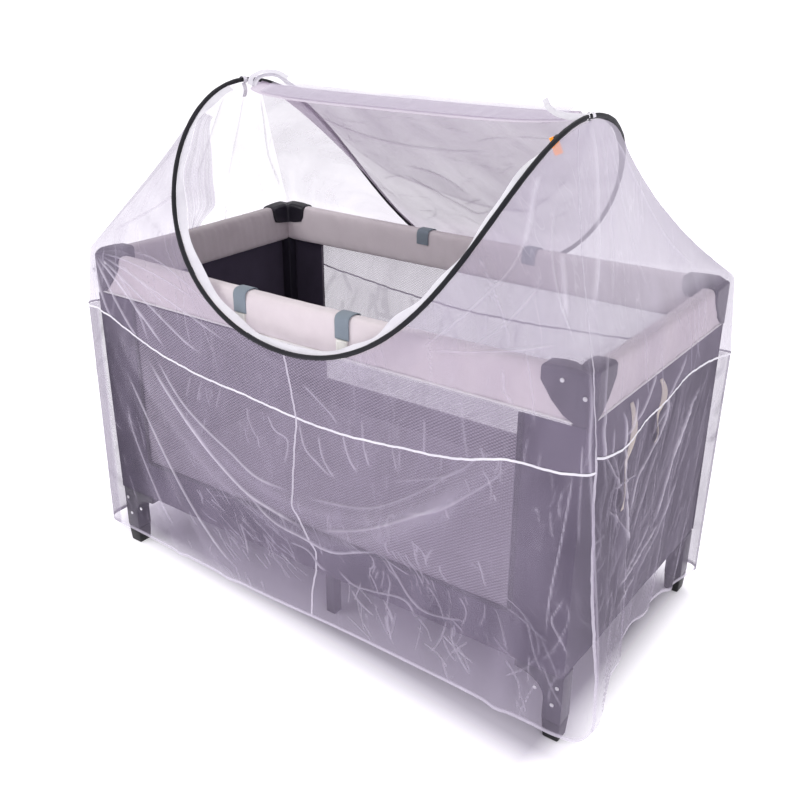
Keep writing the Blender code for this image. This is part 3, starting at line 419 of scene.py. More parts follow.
# %% Sizes of the cot and of the four lines
COT_LENGTH, COT_WIDTH = 1.25, 0.66
CAP_TOP, RAIL_TOP, RAIL_BOTTOM = 0.772, 0.768, 0.671
RAIL_SAG, END_RAIL_SAG = 0.006, 0.004
RAIL_THICK, CAP_REACH = 0.036, 0.092
WINDOW_HALF, BAND_TOP, BAND_BOTTOM = 0.50, 0.262, 0.160
MATTRESS_TOP, MATTRESS_THICK = 0.222, 0.030
RAIL_LIFT, RAIL_CLEAR = 0.0055, 0.0095
CORNER_ROUND = 0.030
HOOP_RADIUS = 0.0055
JOIN_FROM, JOIN_TO, JOIN_SWELL = 8, 30, 0.55

Reach = namedtuple("Reach", "left right front back")
RAIL_REACH = Reach(*[size / 2 + RAIL_CLEAR for size in (COT_LENGTH, COT_LENGTH, COT_WIDTH, COT_WIDTH)])
BELT_REACH = Reach(0.657, 0.648, 0.346, 0.346)
HEM_REACH = Reach(0.668, 0.642, 0.348, 0.350)

FRONT_BELT = ((0, 0.642), (0.09, 0.633), (0.17, 0.584), (0.27, 0.556), (0.4, 0.540), (0.5, 0.528),
              (0.61, 0.526), (0.7, 0.538), (0.79, 0.551), (0.88, 0.585), (0.94, 0.588), (1, 0.606))
RIGHT_BELT = ((0, 0.634), (0.2, 0.612), (0.3, 0.626), (0.45, 0.630), (0.57, 0.645), (0.74, 0.638),
              (1, 0.605))
BACK_BELT = ((0, 0.605), (0.25, 0.575), (0.5, 0.560), (0.75, 0.580), (1, 0.620))
LEFT_BELT = ((0, 0.620), (0.3, 0.600), (0.6, 0.612), (1, 0.642))
FRONT_HEM = ((0, 0.062), (0.2, 0.054), (0.4, 0.046), (0.55, 0.050), (0.8, 0.046), (0.93, 0.043),
             (0.965, 0.048), (0.985, 0.062), (1, 0.090))
RIGHT_HEM = ((0, 0.090), (0.08, 0.118), (0.2, 0.140), (0.35, 0.150), (0.6, 0.128), (0.85, 0.080),
             (1, 0.052))
BACK_HEM = ((0, 0.052), (0.3, 0.060), (0.7, 0.050), (1, 0.060))
LEFT_HEM = ((0, 0.060), (0.4, 0.072), (0.7, 0.064), (1, 0.062))

FRONT_FAN = ((-174, 0), (-156, 0.010), (-138, 0.035), (-126, 0.17), (-108, 0.335), (-90, 0.5),
             (-72, 0.665), (-54, 0.83), (-42, 0.950), (-24, 0.975), (-12, 0.989), (-6, 1))
RIGHT_FAN = ((-6, 0), (6, 1))
BACK_FAN = ((6, 0), (24, 0.015), (42, 0.045), (54, 0.17), (72, 0.335), (90, 0.5), (108, 0.665),
            (126, 0.83), (138, 0.965), (156, 0.990), (174, 1))
LEFT_FAN = ((174, 0), (186, 1))

Side = namedtuple("Side", "belt hem fan corners length")
SIDES = {
    "front": Side(FRONT_BELT, FRONT_HEM, FRONT_FAN, ((-1, -1), (1, -1)), COT_LENGTH),
    "right": Side(RIGHT_BELT, RIGHT_HEM, RIGHT_FAN, ((1, -1), (1, 1)), COT_WIDTH),
    "back": Side(BACK_BELT, BACK_HEM, BACK_FAN, ((1, 1), (-1, 1)), COT_LENGTH),
    "left": Side(LEFT_BELT, LEFT_HEM, LEFT_FAN, ((-1, 1), (-1, -1)), COT_WIDTH),
}
print("belt from", min(z for side in SIDES.values() for _, z in side.belt), "m up")

# %% [markdown]
# The folds are the cloth's own: swags that hang from the front caps in deep curves, upright folds,
# a flange that stands off the front right corner, and a middle seam that wanders.

# %% Sizes of the folds
Swag = namedtuple("Swag", "x0 z0 x1 z1 drop rise width")
SWAGS = (
    Swag(-0.600, 0.720, 0.460, 0.550, 0.300, 0.010, 0.022),
    Swag(-0.600, 0.700, 0.530, 0.660, 0.418, 0.013, 0.026),
    Swag(-0.605, 0.700, -0.200, 0.040, 0.090, 0.010, 0.022),
    Swag(-0.600, 0.620, -0.370, 0.040, 0.085, 0.007, 0.018),
)
Fold = namedtuple("Fold", "side share lean rise width")
FOLDS = (
    Fold("front", 0.90, -0.020, 0.006, 0.018),
    Fold("right", 0.16, 0.050, 0.010, 0.024),
    Fold("right", 0.36, 0.060, 0.008, 0.022),
    Fold("right", 0.55, -0.060, 0.009, 0.026),
    Fold("right", 0.78, -0.080, 0.010, 0.024),
    Fold("back", 0.18, 0.060, 0.010, 0.040),
    Fold("back", 0.45, -0.040, 0.009, 0.045),
    Fold("back", 0.80, -0.060, 0.010, 0.040),
    Fold("left", 0.15, 0.050, 0.009, 0.030),
    Fold("left", 0.50, 0.000, 0.008, 0.035),
    Fold("left", 0.85, -0.060, 0.007, 0.026),
)
FLANGE = ((0.000, 0.056), (0.050, 0.058), (0.120, 0.064), (0.210, 0.058), (0.280, 0.045),
          (0.400, 0.027), (0.560, 0.012), (0.680, 0.008), (0.770, 0.000))
FLANGE_WIDTH_FRONT, FLANGE_WIDTH_RIGHT = 0.075, 0.150
SEAM_DRIFT = ((0.03, 0.034), (0.13, 0.040), (0.19, 0.050), (0.266, 0.038), (0.30, 0.003),
              (0.35, -0.009), (0.45, -0.004), (0.53, 0.003), (0.60, -0.010), (0.70, -0.014))
DRIFT_WIDTH = 0.150
SAG = ((-180, 0.006), (-140, 0.004), (-90, 0), (-50, 0.006), (-25, 0.016), (0, 0.020), (25, 0.034),
       (50, 0.014), (90, 0), (140, 0.004), (180, 0.006))
print("swags and folds:", len(SWAGS), len(FOLDS))


# %% [markdown]
# The helpers below work on whole rows of points at once, which is quicker than point by point.

# %% Curves and directions
def unit(vector):
    return vector / np.linalg.norm(vector, axis=-1, keepdims=True)


def smooth(low, high, value):
    share = np.clip((value - low) / (high - low), 0, 1)
    return share * share * (3 - 2 * share)


def look_up(rows, at):
    """A smooth curve through a table of two columns."""
    keys, values = (np.array(column, float) for column in zip(*rows))
    slopes = np.gradient(values, keys)
    i = np.clip(np.searchsorted(keys, at, side="right") - 1, 0, len(keys) - 2)
    step = keys[i + 1] - keys[i]
    share = np.clip((at - keys[i]) / step, 0, 1)
    bend = share * (1 - share) * ((1 - share) * slopes[i] - share * slopes[i + 1])
    return values[i] + (values[i + 1] - values[i]) * share * share * (3 - 2 * share) + step * bend


def straight(rows, at):
    keys, values = zip(*rows)
    return np.interp(at, keys, values)


def joined(x, y, z):
    return np.stack(np.broadcast_arrays(x, y, z), axis=-1).astype(float)


# %% [markdown]
# The hoop is an endless spring wire. Sprung open it takes the shape of a saddle: two high ends over
# the cot's ends and two low lobes outside its long rails, which a few cosines describe.

# %% The hoop's line
HOOP_HALF_LENGTH, HOOP_LENGTH_PINCH = 0.457, -0.024
HOOP_HALF_WIDTH, HOOP_WIDTH_PINCH = 0.409, 0.039
HOOP_MEAN_HEIGHT, HOOP_LOBE, HOOP_LOBE_SHARP = 0.890, 0.221, 0.011
HOOP_LEAN_X, HOOP_LEAN_Y = -0.005, 0.004
SEAM_GAP = 0.0003


def hoop_at(angle):
    a = np.radians(angle)
    return joined(
        -0.003 + HOOP_HALF_LENGTH * np.cos(a) + HOOP_LENGTH_PINCH * np.cos(3 * a),
        -0.001 + HOOP_HALF_WIDTH * np.sin(a) + HOOP_WIDTH_PINCH * np.sin(3 * a),
        HOOP_MEAN_HEIGHT + HOOP_LOBE * np.cos(2 * a) + HOOP_LOBE_SHARP * np.cos(4 * a)
        + HOOP_LEAN_X * np.cos(a) + HOOP_LEAN_Y * np.sin(a),
    )


def hoop_radius(angle):
    """The binding is wider where the wire's ends are joined."""
    along = (np.asarray(angle) + 180) % 360 - 180
    swell = smooth(JOIN_FROM - 6, JOIN_FROM + 6, along) * smooth(JOIN_TO + 6, JOIN_TO - 6, along)
    return HOOP_RADIUS * (1 + JOIN_SWELL * swell)


def hoop_along(angle):
    return unit(hoop_at(np.asarray(angle) + 1) - hoop_at(np.asarray(angle) - 1))


def off_hoop(angle, towards, distance=SEAM_GAP):
    """Points just off the binding, square to the wire and facing other points, with their direction."""
    centre = hoop_at(angle)
    along = hoop_along(angle)
    lead = towards - centre
    side = unit(lead - along * np.sum(lead * along, axis=-1, keepdims=True))
    reach = np.asarray(hoop_radius(angle) + distance)[..., None]
    return centre + side * reach, side


print("hoop top:", hoop_at(0).round(3), "front lobe:", hoop_at(-90).round(3))


# %% [markdown]
# A ring is the outline of the net seen from above at one level: a rectangle with round corners. A
# share runs along each side from 0 at its first corner to 1 at its last.

# %% Rings and the folds on them
def rail_top(side, share):
    sag = RAIL_SAG if side in ("front", "back") else END_RAIL_SAG
    middle = 1 - (2 * share - 1) ** 2
    return RAIL_TOP - sag * middle + (CAP_TOP - RAIL_TOP) * (1 - smooth(0, 0.5, middle))


def ring(side, share, reach):
    first, last = SIDES[side].corners
    lows = np.array((-reach.left, -reach.front))
    highs = np.array((reach.right, reach.back))
    start, end = (np.where(np.array(corner) < 0, lows, highs) for corner in (first, last))
    flat = start + (end - start) * np.asarray(share)[..., None]
    core = np.clip(flat, lows + CORNER_ROUND, highs - CORNER_ROUND)
    out = unit(flat - core)
    place = core + out * CORNER_ROUND
    return place, joined(out[..., 0], out[..., 1], 0)


def level(side, share, reach, height):
    flat, out = ring(side, share, reach)
    return joined(flat[..., 0], flat[..., 1], height), out


def fold_rise(side, share, place):
    """How far the folds lift the cloth off its plain hang."""
    rise = np.zeros(place.shape[:-1])
    if side == "front":
        for swag in SWAGS:
            along = (place[..., 0] - swag.x0) / (swag.x1 - swag.x0)
            height = swag.z0 + (swag.z1 - swag.z0) * along - 4 * swag.drop * along * (1 - along)
            slope = (swag.z1 - swag.z0 - 4 * swag.drop * (1 - 2 * along)) / (swag.x1 - swag.x0)
            away = (place[..., 2] - height) / np.hypot(1, slope)
            fade = smooth(0, 0.1, along) * smooth(1, 0.85, along)
            rise = rise + swag.rise * fade * np.exp(-((away / swag.width) ** 2))
    down = (RAIL_BOTTOM - place[..., 2]) / RAIL_BOTTOM
    for fold in FOLDS:
        if fold.side == side:
            away = (share - fold.share) * SIDES[side].length - fold.lean * down
            rise = rise + fold.rise * smooth(0, 0.5, down) * np.exp(-((away / fold.width) ** 2))
    return rise


def dressed(side, share, place, out):
    """Folds, the corner flange and the seam's drift, laid on the plain hang."""
    place = place + out * fold_rise(side, share, place)[..., None]
    if side == "front":
        near = (1 - share) * 2 * BELT_REACH.right / FLANGE_WIDTH_FRONT
    elif side == "right":
        near = share * 2 * BELT_REACH.front / FLANGE_WIDTH_RIGHT
    else:
        near = 9 + 0 * share
    stand = straight(FLANGE, place[..., 2]) * np.exp(-(near ** 1.6))
    place = place + np.array((1, -0.2, 0)) * stand[..., None]
    if side == "front":
        hold = np.exp(-((place[..., 0] / DRIFT_WIDTH) ** 2))
        place = place + joined(look_up(SEAM_DRIFT, place[..., 2]) * hold, 0, 0)
    return place


# %% [markdown]
# With these, each panel is a surface in two directions. The upper panels run from the hoop over the
# rails to the belt, and the skirts from the belt to the hem.

# %% Surfaces of the panels
TAPE_WIDTH = 0.005
END_SLACK = 0.0014


def share_of(side, angle):
    return straight(SIDES[side].fan, angle)


def belt_line(side, share):
    start, out = level(side, share, BELT_REACH, look_up(SIDES[side].belt, share))
    return dressed(side, share, start, out), out


def upper_at(side, angle, t):
    """The upper panel: t is 0 at the hoop, 1 at the rail and 2 at the belt."""
    share = share_of(side, angle)
    belt, _ = belt_line(side, share)
    rail, _ = level(side, share, RAIL_REACH, rail_top(side, share) + RAIL_LIFT)
    wire = hoop_at(angle)
    above = smooth(0.79, 0.86, wire[..., 2])[..., None]
    rail = rail * above + (wire + 0.3 * (belt - wire)) * (1 - above)
    slack = END_SLACK * smooth(0.980, 0.994, abs(np.cos(np.radians(angle))))
    top, _ = off_hoop(angle, rail, SEAM_GAP + slack)
    first = np.clip(t, 0, 1)
    place = top + (rail - top) * first[..., None]
    depth = straight(SAG, (angle + 180) % 360 - 180) * 4 * first * (1 - first)
    lead = unit(place * np.array((1 / COT_LENGTH, 1 / COT_WIDTH, 0)))
    place = place - unit(lead + np.array((0, 0, 1.6))) * depth[..., None]
    end = belt + unit(rail - belt) * TAPE_WIDTH / 2
    return place + (end - rail) * np.clip(t - 1, 0, 1)[..., None]


def skirt_at(side, share, t):
    """The skirt: t is 0 at the belt and 1 at the hem."""
    start, out = level(side, share, BELT_REACH, look_up(SIDES[side].belt, share))
    finish, _ = level(side, share, HEM_REACH, look_up(SIDES[side].hem, share))
    place = dressed(side, share, start + (finish - start) * t[..., None], out)
    return place - np.array((0, 0, 1)) * (TAPE_WIDTH / 2 * (1 - t))[..., None]


print("belt at the front middle:", upper_at("front", np.array([-90.0]), np.array([2.0]))[0].round(3))

# %% [markdown]
# ## Creases
#
# A net that was packed in a bag keeps sharp creases. Each is a low ridge with more thread in it, so
# it shows grey over white, and over dark cloth its paler colour is a painted highlight. The long ones
# are placed where the photograph shows them, by its pixels, and lie on the cloth itself. The fine ones
# are scattered.


# %% A ridge along a line
def in_photo(place):
    """The pixel of the photograph at which points show, and their depth from the camera."""
    lead = place - CAMERA_AT
    depth = -(lead @ back)
    across = PICTURE / 2 + FOCAL * (lead @ camera_right) / depth
    down = PICTURE / 2 - FOCAL * (lead @ camera_up) / depth
    return joined(across, down, depth)


def rounded_path(points, steps=6):
    """A smooth curve through a few points."""
    points = np.array(points, float)
    ends = np.vstack((2 * points[0] - points[1], points, 2 * points[-1] - points[-2]))
    t = np.arange(steps)[:, None] / steps
    runs = []
    for a, b, c, d in zip(ends, ends[1:], ends[2:], ends[3:]):
        runs.append(0.5 * (2 * b + (c - a) * t + (2 * a - 5 * b + 4 * c - d) * t**2
                           + (3 * b - a - 3 * c + d) * t**3))
    return np.vstack(runs + [points[-1:]])


def near_line(flat, path, reach):
    """For points near a flat path: which they are, how far away, and their share along it."""
    low, high = path.min(0) - reach, path.max(0) + reach
    near = np.flatnonzero(((flat >= low) & (flat <= high)).all(-1))
    away = np.full(len(near), 1e9)
    share = np.zeros(len(near))
    runs = np.linalg.norm(np.diff(path, axis=0), axis=1)
    starts = np.concatenate(([0], np.cumsum(runs)))
    for i, (a, b) in enumerate(zip(path, path[1:])):
        lead = flat[near] - a
        t = np.clip(lead @ (b - a) / max(runs[i] ** 2, 1e-12), 0, 1)
        gap = np.linalg.norm(lead - t[:, None] * (b - a), axis=1)
        closer = gap < away
        away[closer] = gap[closer]
        share[closer] = ((starts[i] + t * runs[i]) / starts[-1])[closer]
    return near, away, share


def ridge(flat, path, width):
    """Which points lie on a ridge, and how much: 1 on the line, falling away and towards its ends."""
    near, away, share = near_line(flat, path, 3 * width)
    ends = smooth(0, 0.16, share) * smooth(1, 0.80, share)
    return near, np.exp(-((away / width) ** 2)) * ends


# %% [markdown]
# Scattered creases use a seeded generator, so that the cloth comes out the same each time. Each has
# a middle, a direction that leans round a main one, a length and a slight bend.

# %% Scattered creases
Scatter = namedtuple("Scatter", "count low high lean spread length depth width seed")


def scattered(flat, scatter):
    rise = np.zeros(len(flat))
    draw = np.random.default_rng(scatter.seed)
    low, high = np.array(scatter.low), np.array(scatter.high)
    for _ in range(scatter.count):
        middle = low + (high - low) * draw.random(2)
        angle = radians(scatter.lean + scatter.spread * draw.normal())
        way = np.array((cos(angle), sin(angle)))
        half = scatter.length * (0.35 + draw.random()) / 2
        bend = np.array((-way[1], way[0])) * half * 0.2 * draw.normal()
        strength = 0.35 + 0.65 * draw.random()
        path = rounded_path((middle - way * half, middle + bend * 0.6, middle + way * half), 5)
        near, amount = ridge(flat, path, scatter.width)
        rise[near] = np.maximum(rise[near], amount * strength)
    return rise


# %% [markdown]
# ## Cloth
#
# A panel starts as a grid of points on its surface. It is moved out along its creases, gets a map in
# metres for the weave, and keeps the amount of crease at each point for the finish. The net is one
# layer thick: at this scale its thread has no thickness that would show.

# %% Make a piece of cloth
FINE, COARSE = 0.0026, 0.0056
THINNER, THINNEST, FAINTER, SCATTERED = 0.62, 0.0019, 0.88, 0.46
NET_MIDDLE = np.array((0, 0, 0.55))


def faces_inwards(place):
    """Whether a grid's normals look at the middle of the net."""
    return np.mean(np.sum(normals_of(place) * (place - NET_MIDDLE), axis=-1)) < 0


def normals_of(place):
    across = np.gradient(place, axis=0)
    down = np.gradient(place, axis=1)
    return unit(np.cross(down, across) + 1e-12)


def lengths(place, axis):
    steps = np.linalg.norm(np.diff(place, axis=axis), axis=-1)
    return np.insert(np.cumsum(steps, axis=axis), 0, 0, axis=axis)


def flat_map(place):
    """Where each point of a grid lies on the cloth as cut, in metres across and along."""
    return np.stack((lengths(place, 0), lengths(place, 1)), axis=-1)


def grid_object(name, place, finish, flat, crease=None, layers=None):
    """An open grid as one mesh, with its map and its crease amounts, and its faces turned outwards."""
    n, m = place.shape[:2]
    first = (np.arange(n - 1)[:, None] * m + np.arange(m - 1)).ravel()
    faces = np.stack((first, first + 1, first + m + 1, first + m), axis=1)
    if faces_inwards(place):
        faces = faces[:, ::-1]
    mesh = bpy.data.meshes.new(name)
    mesh.from_pydata(place.reshape(-1, 3).tolist(), [], faces.tolist())
    mesh.polygons.foreach_set("use_smooth", np.ones(len(faces), bool))
    layer = mesh.uv_layers.new(name="cloth")
    layer.data.foreach_set("uv", flat.reshape(-1, 2)[faces.ravel()].astype(np.float32).ravel())
    amount = mesh.attributes.new("crease", "FLOAT", "POINT")
    if crease is not None:
        amount.data.foreach_set("value", crease.astype(np.float32).ravel())
    if layers is not None:
        amount = mesh.attributes.new("layers", "FLOAT", "POINT")
        amount.data.foreach_set("value", layers.astype(np.float32).ravel())
    mesh.materials.append(finish)
    made = add_object(name, mesh)
    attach(made, "root")
    return made


def creased(place, ridges, creases, scatters):
    """Moves a grid out along its creases. Returns the grid and the amount of crease at each point."""
    shape = place.shape[:2]
    out = -normals_of(place) if faces_inwards(place) else normals_of(place)
    flat = flat_map(place)
    amount = np.zeros(place.shape[0] * place.shape[1]) + ridges.ravel()
    lift = np.zeros_like(amount)
    seen = in_photo(place).reshape(-1, 3)
    scale = FOCAL / seen[:, 2].mean()
    for crease in creases:
        width = max(crease.width * THINNER, THINNEST) * scale
        near, rise = ridge(seen[:, :2], rounded_path(crease.path), width)
        amount[near] += (1 - amount[near]) * rise * crease.strength * FAINTER
        lift[near] += rise * crease.depth
    for scatter in scatters:
        rise = scattered(flat.reshape(-1, 2), scatter)
        amount = np.maximum(amount, rise * SCATTERED)
        lift += rise * scatter.depth
    still = smooth(0, 0.012, flat[..., 1]) * smooth(0, 0.012, flat[:, -1:, 1] - flat[..., 1])
    place = place + out * (lift.reshape(shape) * still)[..., None]
    return place, amount.reshape(shape), flat


# %% [markdown]
# A maker cuts each piece flat, so each gets a map of its flat size. It could be written down from a
# pattern, but there is none, and the finished grid knows it: its lengths across and along it. A
# slanted piece fills only a part of the rectangle that it is cut from.


def sheet_piece(name, node, place, finish, crease=None, flat=None,
                layers=None):
    """A cloth piece with its map as cut, in metres across it and along it, in place of its imported node."""
    flat = flat_map(place) if flat is None else flat
    made = grid_object(name, place, finish, flat, crease, layers)
    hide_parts(node)
    return made


# %% [markdown]
# The long creases: how far each stands up, how wide it is, how much thread shows in it, and its line
# in the photograph. On the front they hang from the left corner cap in deep curves.

# %% Creases of the front, the right end and the corner
Crease = namedtuple("Crease", "depth width strength path")


def creases(*rows):
    """Rows of depth and width in tenths of a millimetre, strength in percent, and pixels."""
    return tuple(Crease(deep / 1e4, wide / 1e4, strong / 100, path) for deep, wide, strong, *path in rows)


SWAG_CREASES = creases(
    (40, 45, 100, (143, 350), (167, 391), (197, 435), (219, 463), (245, 491), (269, 508), (314, 534)),
    (30, 35, 90, (152, 350), (178, 396), (201, 424), (230, 452), (258, 478), (297, 494)),
    (40, 35, 100, (123, 365), (136, 391), (162, 448), (191, 504), (221, 550), (245, 576)),
    (30, 35, 70, (127, 398), (134, 432), (156, 489), (167, 513), (178, 532)),
    (30, 30, 80, (245, 491), (272, 520), (300, 536), (332, 552), (360, 552), (388, 553)),
    (40, 40, 55, (314, 530), (340, 531), (362, 530), (382, 526), (418, 515), (450, 503)),
    (30, 40, 40, (300, 494), (330, 503), (372, 508), (420, 492), (470, 462)),
    (30, 40, 45, (400, 515), (436, 511), (470, 494), (497, 477), (514, 460)),
    (20, 35, 35, (388, 482), (448, 476), (480, 458), (511, 448)),
)
FRONT_CREASES = creases(
    (20, 25, 55, (240, 521), (246, 540), (249, 556)),
    (20, 25, 45, (247, 404), (249, 420), (258, 440)),
    (20, 25, 60, (266, 411), (275, 430), (288, 441), (284, 468)),
    (20, 25, 45, (191, 374), (188, 390), (186, 398)),
    (20, 25, 40, (202, 380), (197, 402)),
    (20, 25, 40, (221, 387), (216, 409)),
    (20, 30, 50, (301, 382), (320, 402), (334, 418), (338, 430)),
    (30, 30, 65, (299, 419), (305, 447), (318, 463), (334, 480)),
    (20, 30, 60, (318, 432), (323, 458), (336, 481)),
    (20, 30, 60, (342, 432), (349, 458), (359, 475)),
    (20, 30, 50, (362, 417), (364, 447), (371, 471)),
    (20, 30, 45, (392, 447), (397, 472)),
    (30, 30, 60, (288, 541), (308, 550), (320, 566), (330, 572)),
    (30, 30, 55, (336, 567), (353, 584), (373, 591), (405, 600), (418, 622)),
    (20, 30, 50, (351, 588), (360, 602), (375, 617)),
    (30, 30, 55, (382, 551), (396, 574), (412, 600), (431, 614), (472, 622)),
    (20, 30, 50, (456, 620), (452, 637), (460, 658), (472, 678)),
    (20, 30, 45, (448, 618), (440, 640), (428, 655)),
    (30, 30, 75, (574, 467), (569, 501), (560, 549), (550, 597), (545, 641)),
    (30, 30, 60, (583, 440), (581, 482), (579, 516), (579, 549)),
    (20, 30, 65, (567, 595), (557, 610), (552, 622), (564, 646), (569, 661)),
    (20, 30, 50, (566, 600), (569, 618), (560, 640), (548, 655)),
    (20, 30, 45, (482, 469), (491, 486), (490, 506)),
)
END_CREASES = creases(
    (30, 32, 95, (621, 406), (626, 421), (626, 438), (625, 466), (626, 497), (627, 519), (626, 553)),
    (30, 26, 80, (638, 396), (634, 424), (626, 437)),
    (30, 26, 85, (657, 372), (650, 393), (643, 410), (635, 424)),
    (30, 30, 90, (671, 390), (663, 424), (650, 452), (638, 475), (632, 500), (628, 525)),
    (30, 30, 95, (694, 393), (685, 421), (674, 452), (664, 486), (656, 514), (646, 533)),
    (30, 24, 70, (702, 382), (691, 404), (682, 427), (671, 458)),
    (30, 24, 70, (688, 351), (682, 368), (674, 385), (664, 412), (648, 440)),
    (30, 30, 70, (607, 407), (603, 432), (607, 458), (618, 483), (626, 497)),
    (30, 24, 55, (604, 508), (616, 518), (626, 532), (629, 547)),
    (30, 28, 80, (660, 519), (646, 542), (635, 561), (626, 575), (615, 592)),
    (30, 24, 70, (650, 519), (640, 542), (629, 564), (622, 580)),
    (30, 24, 60, (635, 573), (624, 592), (615, 612)),
    (30, 24, 60, (660, 440), (650, 468), (643, 492), (636, 515), (630, 542)),
    (30, 24, 60, (680, 470), (668, 500), (656, 532), (644, 556), (632, 580)),
    (30, 24, 55, (615, 420), (613, 450), (617, 480), (614, 510), (618, 540)),
    (30, 24, 55, (610, 491), (626, 480), (638, 472)),
)
CORNER_CREASES = creases(
    (30, 50, 60, (588, 350), (592, 400), (590, 450), (592, 500), (594, 560), (597, 640), (598, 720)),
    (20, 40, 45, (610, 340), (606, 380), (604, 440), (606, 500)),
)
print("placed creases:", len(SWAG_CREASES) + len(FRONT_CREASES) + len(END_CREASES) + len(CORNER_CREASES))

# %% [markdown]
# On the canopy the creases run from the hoop's two high ends down to the corner caps, like the
# spokes of a fan.

# %% Creases of the canopy
CANOPY_CREASES = creases(
    (40, 70, 100, (591, 118), (596, 170), (597, 221), (597, 267), (592, 320)),
    (30, 30, 70, (260, 93), (264, 120), (268, 152), (276, 175), (283, 193)),
    (30, 80, 60, (562, 250), (565, 285), (568, 322)),
    (30, 80, 70, (540, 172), (534, 195), (530, 221), (524, 251)),
    (30, 30, 55, (226, 92), (213, 130), (203, 160), (194, 185)),
    (30, 30, 55, (245, 91), (240, 120), (232, 160), (227, 185)),
    (30, 30, 50, (612, 130), (640, 190), (668, 240), (700, 272)),
    (30, 30, 45, (606, 126), (620, 190), (634, 250), (652, 300)),
    (30, 30, 45, (600, 124), (608, 190), (612, 250), (612, 310)),
    (20, 30, 40, (180, 190), (160, 205), (130, 222), (112, 232)),
    (30, 35, 80, (93, 256), (97, 275), (106, 305), (122, 345)),
    (30, 35, 85, (94, 255), (104, 275), (120, 308), (145, 352)),
    (30, 35, 90, (95, 254), (110, 272), (134, 304), (168, 352)),
    (30, 35, 75, (97, 254), (120, 276), (152, 308), (186, 342), (208, 358)),
    (30, 35, 65, (98, 253), (128, 272), (168, 300), (205, 326), (232, 346)),
    (20, 30, 50, (100, 252), (130, 262), (165, 280), (196, 300)),
    (20, 30, 45, (128, 250), (160, 262), (205, 300), (240, 330)),
    (20, 30, 50, (118, 262), (150, 290), (170, 310)),
    (30, 35, 55, (118, 272), (138, 310), (150, 345)),
    (20, 30, 40, (420, 350), (470, 310), (510, 270), (530, 230)),
    (20, 30, 35, (470, 350), (510, 320), (545, 280)),
    (20, 30, 40, (576, 345), (560, 300), (552, 250), (556, 200)),
    (20, 30, 40, (560, 345), (520, 350), (470, 352), (430, 350)),
)

# %% [markdown]
# ## The front, the ends and the back of the net
#
# The front is two halves with a seam between them. Each side has an upper panel and a skirt. A hem
# is a narrow band of doubled cloth at the lower edge, so it carries the same attribute as a crease.
# The tables say how dense the upper panels are gathered at each angle round the hoop, which also
# paints a highlight where they are densest, and where along each side the skirt lies in more layers:
# at the two ends, where it stands off the corners, and all along the left end. Where layers are above
# 0 the colour also has painted shade.

# %% Cut and hang the panels
HEM = 0.010
FOLD_CREST_AND_HIGHLIGHT = 13
# Gathered density: more thread, and a painted highlight where the net faces the light.
GATHER_AND_HIGHLIGHT = ((-180, 0.10), (-150, 0.10), (-90, 0.05), (-60, 0.12), (-30, 0.28), (-6, 0.60), (6, 0.70),
         (30, 0.30), (90, 0.15), (150, 0.10), (180, 0.10))
# More layers cover more; above 0 they also carry painted shade, a darker colour.
LAYERS_AND_SHADE = {
    "front": ((0, 0.6), (0.036, 0.6), (0.044, -0.7), (0.10, -0.6), (0.2, -0.15), (0.3, 0), (0.9, 0),
              (1, -0.45)),
    "right": ((0, -0.35), (0.93, -0.45), (0.945, 0.75), (1, 0.75)),
    "back": ((0, 0.6), (0.04, 0.6), (0.08, 0), (0.92, 0), (0.96, 0.6), (1, 0.6)),
    "left": ((0, 0.6), (1, 0.6)),
}


def soften(place, weight, times=14):
    """Eases a hard bend in a grid, along its length, where the weight says."""
    for _ in range(times):
        mean = (place[:, :-2] + 2 * place[:, 1:-1] + place[:, 2:]) / 4
        place[:, 1:-1] += (mean - place[:, 1:-1]) * weight[:, 1:-1, None]
    return place


def steps(*stops):
    """Numbers from stop to stop: each stop is a value and how many steps lead to it."""
    runs = [np.array([stops[0]], float)]
    for value, count in stops[1:]:
        runs.append(np.linspace(runs[-1][-1], value, count + 1)[1:])
    return np.concatenate(runs)


Panel = namedtuple("Panel", "name side angles shares rows creases scatters")
SWAG_FAN = Scatter(50, (0.02, 0.20), (0.38, 0.31), 98, 14, 0.045, 0.0010, 0.0019, 5)
SWAG_CRUMPLE = Scatter(70, (0.40, 0.24), (0.66, 0.42), 34, 16, 0.07, 0.0014, 0.0018, 3)
FLOOR_CRUMPLE = Scatter(30, (0.10, 0.28), (0.62, 0.50), 72, 26, 0.12, 0.0018, 0.0020, 4)


def front_scatters(seed, share):
    return (
        Scatter(int(50 * share), (0, 0.01), (0.62, 0.12), 84, 14, 0.045, 0.0010, 0.0019, seed),
        Scatter(int(70 * share), (0, 0.20), (0.62, 0.52), 60, 22, 0.07, 0.0010, 0.0019, seed + 1),
    )


def end_scatters(seed):
    return (
        Scatter(260, (0.03, 0), (0.56, 0.50), 107, 9, 0.15, 0.0022, 0.0019, seed),
        Scatter(120, (0, 0.1), (0.40, 0.56), 125, 22, 0.07, 0.0014, 0.0019, seed + 1),
    )


